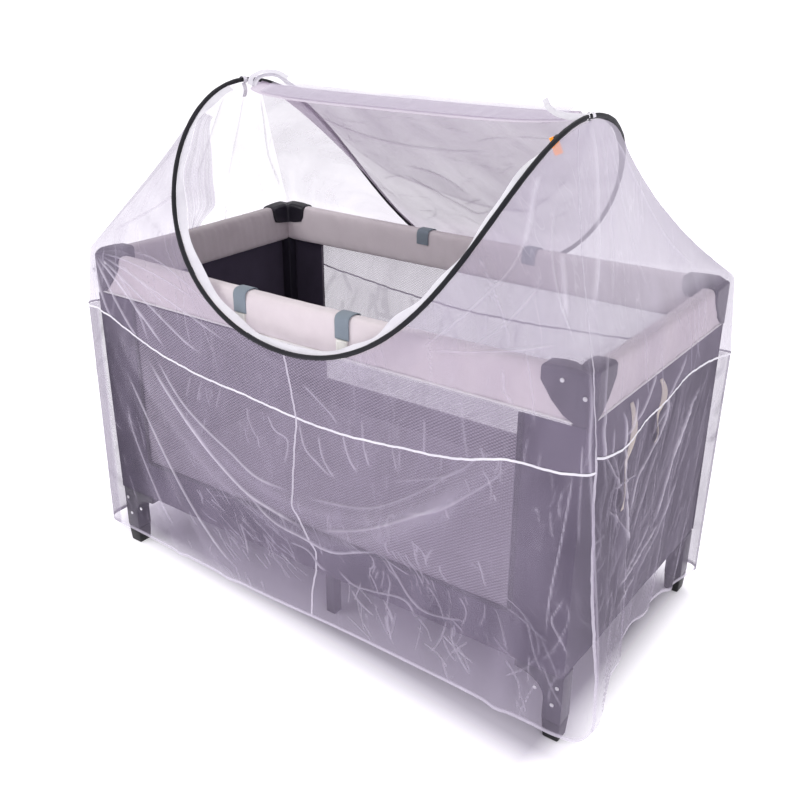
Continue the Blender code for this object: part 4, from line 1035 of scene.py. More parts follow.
LEFT_HALF = steps(-174, (-138, 80), (-90, 190))
RIGHT_HALF = -180 - LEFT_HALF[::-1]
FINE_ROWS = steps(0, (0.85, 120), (1.15, 44), (2, 62))
COARSE_ROWS = steps(0, (0.85, 50), (1.15, 26), (2, 26))
FRONT_LINES = (SWAG_CREASES, FRONT_CREASES)
PANELS = (
    Panel("front_left", "front", LEFT_HALF, (0, 0.5), FINE_ROWS, FRONT_LINES,
          (*front_scatters(11, 0.6), SWAG_CRUMPLE)),
    Panel("front_right", "front", RIGHT_HALF, (0.5, 1), FINE_ROWS, (*FRONT_LINES, CORNER_CREASES),
          (*front_scatters(21, 0.6), FLOOR_CRUMPLE, SWAG_FAN)),
    Panel("right", "right", steps(-6, (6, 250)), (0, 1), FINE_ROWS, (END_CREASES, CORNER_CREASES),
          end_scatters(31)),
    Panel("back", "back", steps(6, (42, 30), (138, 170), (174, 30)), (0, 1), COARSE_ROWS, (),
          (Scatter(110, (0, 0), (1.3, 0.5), 80, 30, 0.12, 0.003, 0.006, 41),)),
    Panel("left", "left", steps(174, (186, 110)), (0, 1), COARSE_ROWS, (),
          (Scatter(60, (0, 0), (0.66, 0.5), 84, 24, 0.12, 0.003, 0.006, 51),)),
)
print("panels:", [panel.name for panel in PANELS])

# %% [markdown]
# ## Tapes
#
# The seams are covered by narrow white tape. A ribbon follows each line, with a slight waver and a
# pucker where the stitches draw it in, because a straight even band would look printed.

# %% Ribbons along the seams
WAVER, PUCKER = 0.0011, 0.0005
TAPE_LIFT, TAPE_DOME = 0.0012, 0.0006
BELT_TAPE, MIDDLE_TAPE, CORNER_TAPE_TOP, CORNER_TAPE_GAIN = 0.0048, 0.0050, 0.0024, 0.0036


def ribbon(name, node, line, out, width, finish, seed):
    """A ribbon on a line of points. Out is the way its face looks."""
    draw = np.random.default_rng(seed)
    run = np.linalg.norm(np.diff(line, axis=0), axis=1)
    at = np.concatenate(([0], np.cumsum(run)))
    along = unit(np.gradient(line, axis=0))
    side = unit(np.cross(out, along))
    waver = sum(np.sin(at * rate + 6 * draw.random()) for rate in (31, 67, 140)) / 3 * WAVER
    pucker = sum(np.sin(at * rate + 6 * draw.random()) for rate in (210, 390)) / 2 * PUCKER
    across = np.linspace(-1, 1, 5)
    half = (width / 2 + 0 * at)[:, None] * across
    place = line[:, None] + side[:, None] * (waver[:, None] + half)[..., None]
    dome = TAPE_LIFT + pucker[:, None] * across**2 - TAPE_DOME * across**2
    place = place + out[:, None] * dome[..., None]
    flat = np.stack((np.repeat(at[:, None], 5, 1), half), axis=-1)
    made = grid_object(name, place, finish, flat)
    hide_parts(node)
    return made


def drop_line(side, angle, rows):
    """A line down a side of the net, from the hoop to the hem: rows run from 0 to 3."""
    angles = np.full(len(rows), float(angle))
    upper = upper_at(side, angles, np.clip(rows, 0, 2))
    skirt = skirt_at(side, share_of(side, angles), np.clip(rows - 2, 0, 1))
    return np.where((rows > 2)[:, None], skirt, upper)


trims = {}
for panel in PANELS:
    share = np.linspace(*panel.shares, 260)
    line, out = belt_line(panel.side, share)
    tape = ribbon("belt_tape_" + panel.name, "belt_" + panel.name, line, unit(out), BELT_TAPE, TAPE,
                  5 + len(trims))
    trims[panel.name] = [tape]

SEAM_ROWS = np.linspace(0.01, 2.995, 420)
middle = drop_line("front", -90, SEAM_ROWS)
out = unit(np.array((0.0, -1.0, 0.25)) + 0 * middle)
tape = ribbon("seam_tape_middle", "seam_centre", middle, out, MIDDLE_TAPE, SEAM, 21)
trims["front_left"].append(tape)
corner = (drop_line("front", -6, SEAM_ROWS) + drop_line("right", -6, SEAM_ROWS)) / 2
out = unit(np.array((0.75, -0.65, 0.15)) + 0 * corner)
width = CORNER_TAPE_TOP + CORNER_TAPE_GAIN * smooth(1.6, 2.4, SEAM_ROWS)
tape = ribbon("seam_tape_corner", "seam_corner", corner, out, width, SEAM, 22)
trims["right"].append(tape)
print("tapes:", sum(len(group) for group in trims.values()))

# %% [markdown]
# Ribbons are pieces of the panel they are sewn to, so each side's tapes are kept under its panel's name.
# The cut sizes are measured on the cloth: it was cut before it hung, and a sheer knit hardly stretches.

# %% Hang the panels with their tapes
SKIRT_DROP, HEM_COVER = 0.52, 0.8


def rail_ease(rows):
    """Where the cloth turns over a rail, which softens its bend."""
    return np.exp(-(((rows - 1) / 0.07) ** 2))


for panel in PANELS:
    columns = panel.angles[:, None] + np.zeros(len(panel.rows))
    rows = panel.rows + np.zeros((len(panel.angles), 1))
    place = upper_at(panel.side, columns, rows)
    place = soften(place, rail_ease(rows))
    canopy = CANOPY_CREASES if panel.side != "back" else ()
    placed = sum(panel.creases, ()) + canopy
    slack = Scatter(30, (0, 0.0), (0.60, 0.5), 86, 18, 0.16, 0.0014, 0.0024, 61 + len(panel.name))
    # Gathered density as crease amount: more cover and a painted highlight.
    gather_and_highlight = look_up(GATHER_AND_HIGHLIGHT, (columns + 180) % 360 - 180) * smooth(1.02, 0.85, rows)
    place, amount, flat = creased(place, gather_and_highlight, placed, (slack,))
    finish = HAZE if panel.side == "left" else SHEER
    upper = "net_upper_" + panel.name
    sheet_piece("upper_" + panel.name, upper, place, finish, amount, flat)

    width = (panel.shares[1] - panel.shares[0]) * SIDES[panel.side].length
    pitch = COARSE if panel.side in ("back", "left") else FINE
    shares = np.linspace(*panel.shares, int(width / pitch) + 2)[:, None]
    rows = np.linspace(0, 1, int(SKIRT_DROP / pitch))
    shares, rows = shares + 0 * rows, rows + 0 * shares
    place = skirt_at(panel.side, shares, rows)
    hem = smooth(1 - HEM / SKIRT_DROP, 1 - 0.6 * HEM / SKIRT_DROP, rows) * HEM_COVER
    # Fold crests get more cover and a paler colour: a painted highlight.
    hem = np.maximum(hem, FOLD_CREST_AND_HIGHLIGHT * fold_rise(panel.side, shares, place))
    # Layers give more cover and painted shade.
    layers = straight(LAYERS_AND_SHADE[panel.side], shares)
    place, amount, flat = creased(place, hem, sum(panel.creases, ()), panel.scatters)
    sheet_piece("skirt_" + panel.name, "net_skirt_" + panel.name, place, SHEER, amount,
                flat, layers=layers)

# %% [markdown]
# ## The hoop and the canopy
#
# The hoop, the rails' piping and the cot's hard parts are shaped with Blender's own operators. An
# operator acts on all that is selected, so each helper first chooses its one object. A finished piece
# has its place in its mesh, as the solids have.

# %% Helpers for rigid pieces
def choose(thing):
    """Deselects everything and makes one object the active one."""
    bpy.ops.object.select_all(action="DESELECT")
    thing.select_set(True)
    bpy.context.view_layer.objects.active = thing


def finished(thing, finish, slot, *nodes):
    """Gives a rigid piece its finish, with its place in its mesh, and hides its nodes. Slot is not used."""
    choose(thing)
    bpy.ops.object.transform_apply(location=True, rotation=True, scale=True)
    thing.data.materials.clear()
    thing.data.materials.append(finish)
    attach(thing, "root")
    if nodes:
        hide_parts(*nodes)
    return thing


def round_wire(name, path, radius, swell=None, closed=False, rounds=4):
    """A round wire along a row of points, as a mesh. Swell is its thickness at each point."""
    curve = bpy.data.curves.new(name, "CURVE")
    curve.dimensions = "3D"
    curve.bevel_depth = radius
    curve.bevel_resolution = rounds
    curve.use_fill_caps = not closed
    spline = curve.splines.new("POLY")
    spline.points.add(len(path) - 1)
    for i, point in enumerate(spline.points):
        point.co = (*path[i], 1)
        point.radius = 1 if swell is None else swell[i]
    spline.use_cyclic_u = closed
    choose(add_object(name, curve))
    bpy.ops.object.convert(target="MESH")
    bpy.ops.object.shade_smooth()
    return bpy.context.object


# %% [markdown]
# The hoop is one endless spring wire in a bias binding. A torus would be flat, so the wire is a
# closed curve with a round bevel, made a mesh, and its binding is slightly uneven where it was sewn.

# %% The hoop
HOOP_POINTS, BINDING_THIN = 720, 0.9
angles = np.arange(HOOP_POINTS) * 360 / HOOP_POINTS
turns = np.radians(angles)
uneven = 1 + 0.035 * np.sin(turns * 41) * np.sin(turns * 7) + 0.02 * np.sin(turns * 97)
swell = BINDING_THIN * hoop_radius(angles) * uneven / HOOP_RADIUS
hoop = round_wire("hoop_binding", hoop_at(angles), HOOP_RADIUS, swell, True, 5)
finished(hoop, BINDING, "black_binding", "net_hoop")
print("hoop faces:", len(hoop.data.polygons))

# %% [markdown]
# The roof is one strip from the high front of the canopy over to the back rail. The door was
# unzipped and thrown back over it, so it lies in slack folds, and its left end hangs gathered.

# %% Surfaces of the canopy
INSIDE = np.array((0, -0.05, 0.95))
ROOF_HALF, ROOF_HEIGHT, ROOF_SHARE, RAIL_SHARE = 0.050, 1.104, 0.22, 0.90
ROOF_SAG, ROOF_PINCH, ROOF_END_RISE = 0.010, 0.080, 0.014
DOOR_GAP, DOOR_SEAT, DOOR_BEND, DOOR_RIPPLE = 0.008, 0.0027, 0.25, 0.004
GATHER_SEAT, GATHER_WIDTH = 0.0008, 0.058
DOOR_DEPTH = ((24, 0.20), (36, 0.42), (54, 0.56), (78, 0.66), (96, 0.62), (114, 0.48), (132, 0.36),
              (144, 0.22))


def roof_at(angle, t):
    """The roof at an angle of the hoop: t is 0 at its front edge and 1 at its back edge."""
    wire = hoop_at(angle)
    along = wire[..., 0] / HOOP_HALF_LENGTH
    narrow = 1 - abs(along) ** 5
    across = wire[..., 0] * (1 - ROOF_PINCH * along**4)
    rise = ROOF_END_RISE * along**4
    front = joined(across, -ROOF_HALF * narrow, ROOF_HEIGHT - 0.006 + rise)
    rear = joined(across, ROOF_HALF * narrow, ROOF_HEIGHT + 0.008 + rise)
    share = (COT_LENGTH / 2 - wire[..., 0]) / COT_LENGTH
    over = joined(wire[..., 0], COT_WIDTH / 2 + 0.006, rail_top("back", share) + RAIL_LIFT)
    above = smooth(0.715, 0.750, wire[..., 2])[..., None]
    beside, _ = off_hoop(angle, rear, SEAM_GAP)
    over = over * (1 - above) + (rear + (beside - rear) * RAIL_SHARE) * above
    end = beside * above + off_hoop(angle, over, SEAM_GAP)[0] * (1 - above)
    t = np.asarray(t)[..., None]
    top = front + (rear - front) * np.clip(t / ROOF_SHARE, 0, 1)
    down = np.clip((t - ROOF_SHARE) / (RAIL_SHARE - ROOF_SHARE), 0, 1)
    slope = rear + (over - rear) * down - np.array((0, 0.5, 0.8)) * ROOF_SAG * np.sin(pi * down)
    last = over + (end - over) * np.clip((t - RAIL_SHARE) / (1 - RAIL_SHARE), 0, 1)
    return np.where(t < ROOF_SHARE, top, np.where(t > RAIL_SHARE, last, slope))


def door_at(angle, t):
    """The door, a little off the roof: t is 0 at its front edge and 1 at its loose edge."""
    depth = ROOF_SHARE + look_up(DOOR_DEPTH, angle) * (1 - ROOF_SHARE)
    low, bend = t / DOOR_BEND, (t - DOOR_BEND) / (1 - DOOR_BEND)
    front, rear = 0.03 + (ROOF_SHARE - 0.03) * low, ROOF_SHARE + (depth - ROOF_SHARE) * bend
    at = np.where(t < DOOR_BEND, front, rear)
    across = roof_at(angle + 1, at) - roof_at(angle - 1, at)
    down = roof_at(angle, at + 0.08) - roof_at(angle, np.maximum(at - 0.08, 0))
    ripple = DOOR_RIPPLE * (1 + np.sin(np.radians(angle * 9) + 5 * t)) * smooth(0.1, 0.6, t)
    lift = DOOR_SEAT + (DOOR_GAP - DOOR_SEAT) * smooth(0, DOOR_BEND, t)
    return roof_at(angle, at) + unit(np.cross(down, across)) * (lift + ripple)[..., None]


def tape_at(angle, t):
    """The zip tape: t is 0 at the hoop and 1 at its wavy edge."""
    start, side = off_hoop(angle, INSIDE + 0 * hoop_at(angle), SEAM_GAP)
    along = hoop_along(angle)
    width = 0.015 + 0.004 * np.sin(np.radians(angle * 5)) * smooth(-174, -150, angle)
    width = width + 0.0022 * np.sin(np.radians(angle * 23)) * t
    wave = 0.005 * np.sin(np.radians(angle * 11)) * t + 0.0028 * np.sin(np.radians(angle * 29)) * t**2
    return start + side * (width * t)[..., None] + np.cross(along, side) * wave[..., None]


def gather_at(angle, t):
    """The door's gathered strip: t is 0 at the zip tape's edge and 1 at its loose edge."""
    _, side = off_hoop(angle, INSIDE + 0 * hoop_at(angle), SEAM_GAP)
    along = hoop_along(angle)
    start = tape_at(angle, 1 + 0 * t) + side * GATHER_SEAT
    fade = smooth(0, 0.2, t) * smooth(-170, -148, angle)
    pleat = (0.006 * np.sin(3 * pi * t) + 0.0024 * np.sin(9 * pi * t + np.radians(angle * 6))) * fade
    width = GATHER_WIDTH * (0.25 + 0.75 * smooth(-166, -146, angle) * smooth(-130, -138, angle))
    width = width * (1 + 0.06 * np.sin(np.radians(angle * 17)))
    away = pleat + 0.004 * smooth(0, 0.3, t)
    return start + side * (width * t)[..., None] + np.cross(side, along) * away[..., None]


def surface(line, angles, rows):
    """A grid on a surface. Each of the two ways is a first value, a last value and a count."""
    angles = np.linspace(*angles)[:, None] + np.zeros(rows[2])
    return line(angles, np.linspace(*rows)[None] + 0 * angles)


def banded(columns, row_values):
    """The same row of values on every column of a grid."""
    return row_values[None] + np.zeros((columns, 1))


print("roof at the back:", roof_at(np.array(90.0), np.array(1.0)).round(3))

# %% [markdown]
# The roof is doubled cloth at its front strip and stretched, so it is the densest. The door is one
# thin layer with a bound edge, and the gather is the same cloth drawn up in pleats. The zip tape is
# woven and longer than the hoop, which makes its free edge wave. All four are grids on the surfaces
# above. A cloth simulation could drape the door, but then its edge would not lie as photographed.

# %% Hang the roof, the door and the gather
ROOF_CREASES = creases(
    (20, 30, 35, (300, 105), (330, 122), (380, 140), (440, 150), (500, 152)),
    (20, 24, 40, (400, 172), (432, 190), (462, 206), (480, 214), (500, 204), (520, 184), (540, 160)),
    (20, 20, 35, (405, 165), (440, 176), (470, 196)),
    (20, 20, 30, (330, 150), (352, 190), (385, 215)),
)
place = surface(roof_at, (6, 174, 230), (0, 1, 170))
slack = Scatter(70, (0, 0.1), (1.3, 0.60), 15, 25, 0.10, 0.0010, 0.0016, 71)
front_strip = smooth(0.24, 0.16, np.linspace(0, 1, 170))
place, amount, flat = creased(place, banded(230, front_strip * 0.7), ROOF_CREASES, (slack,))
sheet_piece("canopy_roof", "net_roof", place, DOUBLE, amount, flat)

place = surface(door_at, (24, 144, 200), (0, 1, 120))
rows = np.linspace(0, 1, 120)
edge = np.maximum(smooth(0.970, 0.985, rows) * 0.5, smooth(0.24, 0.16, rows))
slack = Scatter(60, (0, 0.1), (1.0, 0.42), 10, 25, 0.09, 0.0010, 0.0016, 72)
place, amount, flat = creased(place, banded(200, edge * 0.7), ROOF_CREASES, (slack,))
sheet_piece("canopy_door", "net_door", place, THIN, amount, flat)

place = surface(gather_at, (-162, -132, 90), (0, 1, 60))
folds = banded(90, 0.35 * np.abs(np.sin(np.linspace(0, 9 * pi, 60))))
sheet_piece("door_gather", "net_door_gather", place, SHEER, folds)

place = surface(tape_at, (-174, -12, 560), (0, 1, 6))
sheet_piece("zip_tape_wavy", "net_zip_tape", place, TAPE)

# %% [markdown]
# A tie is a short tape from each high end of the hoop. It comes up the outside, turns over the
# binding and hangs free inside. A plane bent by a modifier would not follow the tilted wire, so its
# points are set round the wire by angle.

# %% Ties
TIE_ROUND, TIE_START, TIE_END, TIE_HALF_WIDTH, TIE_LENGTH = 0.55, 190, -92, 0.006, 0.030
TIE_CLEAR, TIE_BELLY = 0.0022, 0.005


def tie_at(angle, turn_in, across, t):
    """A tie: across is -1 to 1, and t is 0 outside the hoop and 1 at its free end."""
    wire = hoop_at(np.array(float(angle)))
    along = hoop_along(np.array(float(angle)))
    inward, up = np.array((turn_in, 0, 0)), np.array((0, 0, 1))
    a = np.radians(TIE_START + (TIE_END - TIE_START) * np.minimum(t / TIE_ROUND, 1))[..., None]
    around = inward * np.cos(a) + up * np.sin(a)
    place = wire + along * (across * TIE_HALF_WIDTH)[..., None] + around * (hoop_radius(angle) + TIE_CLEAR)
    reach = (np.maximum(t - TIE_ROUND, 0) / (1 - TIE_ROUND))[..., None]
    return place - up * TIE_LENGTH * reach + inward * TIE_BELLY * np.sin(pi * reach)


for name, angle, turn_in in (("left", 180, 1), ("right", 0, -1)):
    across = np.linspace(-1, 1, 9)[:, None] + np.zeros(70)
    t = np.linspace(0, 1, 70)[None] + 0 * across
    place = tie_at(angle, turn_in, across, t)
    sheet_piece("tie_tape_" + name, "tie_" + name, place, TAPE)

# %% [markdown]
# The ties' long ends lie over the roof at both high points, in loose loops. Their lines are followed
# in the photograph, at the depth of the hoop's ends.


# %% Loose ends of the ties
def from_photo(pixel, depth):
    """The point that shows at a pixel, at a depth from the camera."""
    across = camera_right * (pixel[0] - PICTURE / 2) - camera_up * (pixel[1] - PICTURE / 2)
    return CAMERA_AT + depth * (across / FOCAL - back)


LOOSE_WIDTH = 0.011
LOOSE_ENDS = (
    ("tie_left", 180, ((253, 87), (258, 78), (268, 75), (280, 77), (292, 86), (303, 92))),
    ("tie_left", 180, ((250, 85), (252, 77), (262, 72), (276, 72), (288, 78))),
    ("tie_right", 0, ((590, 116), (576, 116), (562, 114), (550, 108), (545, 99))),
    ("tie_right", 0, ((588, 118), (572, 119), (556, 114), (546, 106))),
)
for i, (node, angle, pixels) in enumerate(LOOSE_ENDS):
    depth = in_photo(hoop_at(np.array(float(angle))))[2] - 0.012 - 0.004 * (i % 2)
    line = rounded_path([from_photo(pixel, depth) for pixel in pixels], 12)
    face = unit(back + 0.5 * camera_up + 0.25 * np.sin(np.linspace(0, 5, len(line)))[:, None] * camera_right)
    made = ribbon(f"loose_tie_{i}", node, line, face, LOOSE_WIDTH, TAPE, 40 + i)
print("loose ends:", len(LOOSE_ENDS))

# %% [markdown]
# ## The cot
#
# The rails are padded tubes in a sewn cover: full in the middle, drawn in at the caps, with a bead
# of white piping along the lower edge. A bevelled box would be too even, so the skin is laid over a
# row of outlines, square with round corners, which swell and sink a little as stuffing does.

# %% Padded rails
def closed_tube(name, sections, finish):
    """A closed skin over a row of outlines, with a flat face at each end."""
    n, m = sections.shape[:2]
    i, j = np.meshgrid(np.arange(n - 1), np.arange(m), indexing="ij")
    i, j, k = i.ravel(), j.ravel(), ((j + 1) % m).ravel()
    faces = np.stack((i * m + j, i * m + k, (i + 1) * m + k, (i + 1) * m + j), axis=1).tolist()
    faces += [list(range(m)), list(range((n - 1) * m, n * m))[::-1]]
    mesh = bpy.data.meshes.new(name)
    mesh.from_pydata(sections.reshape(-1, 3).tolist(), [], faces)
    work = bmesh.new()
    work.from_mesh(mesh)
    bmesh.ops.recalc_face_normals(work, faces=work.faces)
    work.to_mesh(mesh)
    work.free()
    mesh.shade_smooth()
    mesh.materials.append(finish)
    made = add_object(name, mesh)
    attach(made, "root")
    return made


PIPING_RADIUS, PIPING_IN, PIPING_UP = 0.0022, 0.0015, 0.0065
INTO_CAP, LUMP, FILL = 0.068, 0.0005, 0.8
RAIL_SIDES = (
    ("front", 0, COT_LENGTH / 2, -COT_WIDTH / 2, 1, RAIL_SAG),
    ("back", 0, COT_LENGTH / 2, COT_WIDTH / 2, -1, RAIL_SAG),
    ("left", 1, COT_WIDTH / 2, -COT_LENGTH / 2, 1, END_RAIL_SAG),
    ("right", 1, COT_WIDTH / 2, COT_LENGTH / 2, -1, END_RAIL_SAG),
)
for i, (name, axis, half, outer, inward, sag) in enumerate(RAIL_SIDES):
    draw = np.random.default_rng(80 + i)
    half = half - CAP_REACH + INTO_CAP
    share = np.linspace(-1, 1, 190)[:, None]
    a = np.linspace(0, 2 * pi, 44, endpoint=False)[None]
    top = RAIL_TOP - sag * (1 - share**2)
    full = 0.90 + 0.10 * smooth(0, 0.04, 1 - abs(share))
    soft = sum(np.sin(share * rate + a * turns + 6 * draw.random())
               for rate, turns in ((21, 1), (47, 2), (90, 3)))
    w = RAIL_THICK / 2 * full + LUMP * soft
    h = (top - RAIL_BOTTOM) / 2 * (0.5 + 0.5 * full)
    u = w * np.sign(np.cos(a)) * abs(np.cos(a)) ** 0.5
    v = h * np.sign(np.sin(a)) * abs(np.sin(a)) ** 0.5
    cross = outer + inward * (RAIL_THICK / 2 + u)
    place = (share * half + 0 * a, cross) if axis == 0 else (cross, share * half + 0 * a)
    # The left rail takes the padding with painted shade.
    made = closed_tube("padded_rail_" + name, joined(*place, (top + RAIL_BOTTOM) / 2 + v),
                       SHADED_PADDING if name == "left" else PADDING)
    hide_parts("cot_rail_" + name)
    line = np.linspace(-half, half, 120)
    edge, low = outer + inward * PIPING_IN + 0 * line, RAIL_BOTTOM + PIPING_UP
    path = joined(line, edge, low) if axis == 0 else joined(edge, line, low)
    finished(round_wire("piping_" + name, path, PIPING_RADIUS), PIPING, "beige_padding")
print("rails:", len(RAIL_SIDES))

# %% [markdown]
# ## Plastic parts
#
# Caps, legs, feet and the base are moulded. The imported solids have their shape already, so a copy of
# each is merged, its flat triangles joined to whole faces, and its edges rounded with a bevel.


# %% Round the edges of a copy
def merged_copy(name, node, flatten=False):
    """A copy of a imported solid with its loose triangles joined, and flat ones made whole faces."""
    made = add_object(name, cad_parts[node].data.copy())
    choose(made)
    bpy.ops.object.mode_set(mode="EDIT")
    bpy.ops.mesh.select_all(action="SELECT")
    bpy.ops.mesh.remove_doubles(threshold=0.00002)
    if flatten:
        bpy.ops.mesh.dissolve_limited(angle_limit=radians(1.5))
    bpy.ops.object.mode_set(mode="OBJECT")
    return made


def round_edges(made, width, segments=3, corner=30):
    """Bevels the edges that turn by more than an angle."""
    bevel = made.modifiers.new("Rounded edges", "BEVEL")
    bevel.width = width
    bevel.segments = segments
    bevel.limit_method = "ANGLE"
    bevel.angle_limit = radians(corner)
    bpy.ops.object.modifier_apply(modifier=bevel.name)


def rounded_copy(name, node, finish, slot, width):
    made = merged_copy(name, node, True)
    round_edges(made, width)
    bpy.ops.object.shade_smooth_by_angle(angle=radians(40))
    return finished(made, finish, slot, node)


CORNERS = [(side, end) for side in ("front", "back") for end in ("left", "right")]
for side, end in CORNERS:
    place = f"{side}_{end}"
    rounded_copy("shoe_" + place, "cot_leg_" + place, DARK_PLASTIC, "dark_plastic", 0.0025)
    rounded_copy("foot_" + place, "cot_foot_" + place, BLACK_RUBBER, "black_foot", 0.0030)
rounded_copy("folding_base", "cot_base", FRAME_STEEL, "dark_plastic", 0.0020)
rounded_copy("zip_slider", "net_zip_slider", DARK_PLASTIC, "dark_plastic", 0.0012)
print("shoes and feet:", 2 * len(CORNERS))

# %% [markdown]
# The puller is a short orange tab on the slider. The solid is narrower than the tab in the photograph,
# so its copy is widened along the picture's level, from its own middle.

# %% Puller tab
TAB_WIDER = 2.2
tab = rounded_copy("puller_tab", "net_zip_puller", ORANGE, "orange_tab", 0.0006)
middle = sum((point.co for point in tab.data.vertices), Vector()) / len(tab.data.vertices)
sideways = Vector(camera_right.tolist())
for point in tab.data.vertices:
    point.co += sideways * (point.co - middle).dot(sideways) * (TAB_WIDER - 1)
print("puller tab:", [round(1000 * size, 1) for size in tab.dimensions], "mm")

# %% [markdown]
# A cap is rounder than a bevel makes it, like a soft moulding. Its copy is remeshed in small cubes
# and smoothed, which rounds every edge the same way and keeps the wings' outline. Its inner lower side
# is drawn up, because the rails run into the cap and only its outer wings reach down.

# %% Caps
CAP_VOXEL, CAP_INSIDE, CAP_WALL, CAP_KEPT = 0.0021, 0.728, 0.018, 0.12
for side, end in CORNERS:
    node = f"cot_cap_{side}_{end}"
    made = merged_copy(f"corner_cap_{side}_{end}", node)
    cubes = made.modifiers.new("Even mesh", "REMESH")
    cubes.mode = "VOXEL"
    cubes.voxel_size = CAP_VOXEL
    cubes.use_smooth_shade = True
    bpy.ops.object.modifier_apply(modifier=cubes.name)
    ease = made.modifiers.new("Soft edges", "SMOOTH")
    ease.factor = 0.5
    ease.iterations = 7
    bpy.ops.object.modifier_apply(modifier=ease.name)
    for point in made.data.vertices:
        inside = min(COT_LENGTH / 2 - abs(point.co.x), COT_WIDTH / 2 - abs(point.co.y))
        if inside > CAP_WALL and point.co.z < CAP_INSIDE:
            point.co.z = CAP_INSIDE + (point.co.z - CAP_INSIDE) * CAP_KEPT
    finished(made, DARK_PLASTIC, "dark_plastic", node)
print("cap faces:", len(made.data.polygons))

# %% [markdown]
# Bright rivets hold the caps and the shoes. Each is a low domed cylinder, and the ones the
# photograph shows on the front right corner are repeated at the other corners.

# %% Rivets
Rivet = namedtuple("Rivet", "along height face")
RIVETS = (Rivet(0.574, 0.750, 0.3335), Rivet(0.617, 0.727, 0.3335), Rivet(0.562, 0.111, 0.325),
          Rivet(0.600, 0.087, 0.325), Rivet(0.608, 0.130, 0.325))
RIVET_RADIUS, RIVET_HIGH, RIVET_SUNK, RIVET_DOME = 0.0042, 0.0022, 0.0006, 0.0014
for sx, sy in ((-1, -1), (-1, 1), (1, -1), (1, 1)):
    for i, rivet in enumerate(RIVETS):
        y = sy * (rivet.face + RIVET_HIGH / 2 - RIVET_SUNK)
        bpy.ops.object.select_all(action="DESELECT")
        bpy.ops.mesh.primitive_cylinder_add(
            vertices=24, radius=RIVET_RADIUS, depth=RIVET_HIGH, rotation=(pi / 2 * sy, 0, 0),
            location=(sx * rivet.along, y, rivet.height))
        made = bpy.context.object
        made.name = f"rivet_{'fb'[sy > 0]}{'lr'[sx > 0]}_{i}"
        round_edges(made, RIVET_DOME, corner=40)
        bpy.ops.object.shade_smooth_by_angle(angle=radians(50))
        finished(made, STEEL, "dark_plastic")
print("rivets:", 4 * len(RIVETS))

# %% [markdown]
# ## Cloth of the cot
#
# Walls, windows and end panels are single sheets stretched on the frame. They are nearly flat, so a
# small billow and a few soft waves are enough. The wall is the same grid with the window left out.

# %% Walls, windows and end panels
WALL_PITCH, WALL_IN, END_IN, WALL_BILLOW, WINDOW_BILLOW = 0.006, 0.0028, 0.0060, 0.0012, 0.0006


def flat_sheet(name, node, axis, at, low, high, finish, out, seed, hole=None, billow=WALL_BILLOW):
    """An upright sheet across x or y, at a fixed depth. Hole is a box of faces that are left out."""
    draw = np.random.default_rng(seed)
    across = np.linspace(low[0], high[0], int((high[0] - low[0]) / WALL_PITCH))
    up = np.linspace(low[1], high[1], int((high[1] - low[1]) / WALL_PITCH))
    if hole:
        across = np.sort(np.append(across, (hole[0], hole[2])))
        up = np.sort(np.append(up, hole[1]))
    across, up = np.meshgrid(across, up, indexing="ij")
    wave = sum(np.sin(across * r + up * s + 6 * draw.random())
               for r, s in ((9, 4), (23, -7), (41, 12))) / 3
    depth = at + out * billow * wave
    place = joined(across, depth, up) if axis == "x" else joined(depth, across, up)
    flat = joined(across - low[0], up - low[1], 0)[..., :2]
    made = grid_object(name, place, finish, flat)
    if hole:
        work = bmesh.new()
        work.from_mesh(made.data)
        lost = []
        for face in work.faces:
            middle = face.calc_center_median()
            if hole[0] < middle.x < hole[2] and middle.z > hole[1]:
                lost.append(face)
        bmesh.ops.delete(work, geom=lost, context="FACES")
        work.to_mesh(made.data)
        work.free()
    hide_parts(node)


wall_half, wall_top = COT_LENGTH / 2 - 0.0045, RAIL_BOTTOM - SEAM_GAP
end_half = COT_WIDTH / 2 - 0.0050
window_box = (-WINDOW_HALF, BAND_TOP, WINDOW_HALF)
for i, (name, sign) in enumerate((("front", -1), ("back", 1))):
    y = sign * (COT_WIDTH / 2 - WALL_IN)
    flat_sheet("wall_" + name, "cot_wall_" + name, "x", y, (-wall_half, BAND_BOTTOM),
               (wall_half, wall_top), DARK_CLOTH, sign, 90 + i, window_box)
    mesh_cloth = WINDOW if sign < 0 else FAR_WINDOW
    flat_sheet("window_" + name, "cot_mesh_" + name, "x", y, (-WINDOW_HALF, BAND_TOP),
               (WINDOW_HALF, wall_top), mesh_cloth, sign, 92 + i, billow=WINDOW_BILLOW)
for i, (name, sign) in enumerate((("left", -1), ("right", 1))):
    x = sign * (COT_LENGTH / 2 - END_IN)
    flat_sheet("end_panel_" + name, "cot_end_" + name, "y", x, (-end_half, BAND_BOTTOM),
               (end_half, wall_top), DARK_CLOTH, sign, 94 + i)

# %% [markdown]
# The wall is bound where the window is sewn in. A flat dark binding runs down both sides of the
# window and along its lower edge, a little proud of the wall.

# %% Bindings round the windows
BIND_WIDTH, BIND_THICK, BIND_IN, BIND_EDGE = 0.010, 0.0022, 0.0005, 0.0009


def box(name, middle, size):
    """A plain box at its size and place, selected and ready to be shaped."""
    bpy.ops.object.select_all(action="DESELECT")
    bpy.ops.mesh.primitive_cube_add(size=1, location=middle)
    made = bpy.context.object
    made.name = name
    made.scale = size
    bpy.ops.object.transform_apply(location=False, rotation=False, scale=True)
    return made


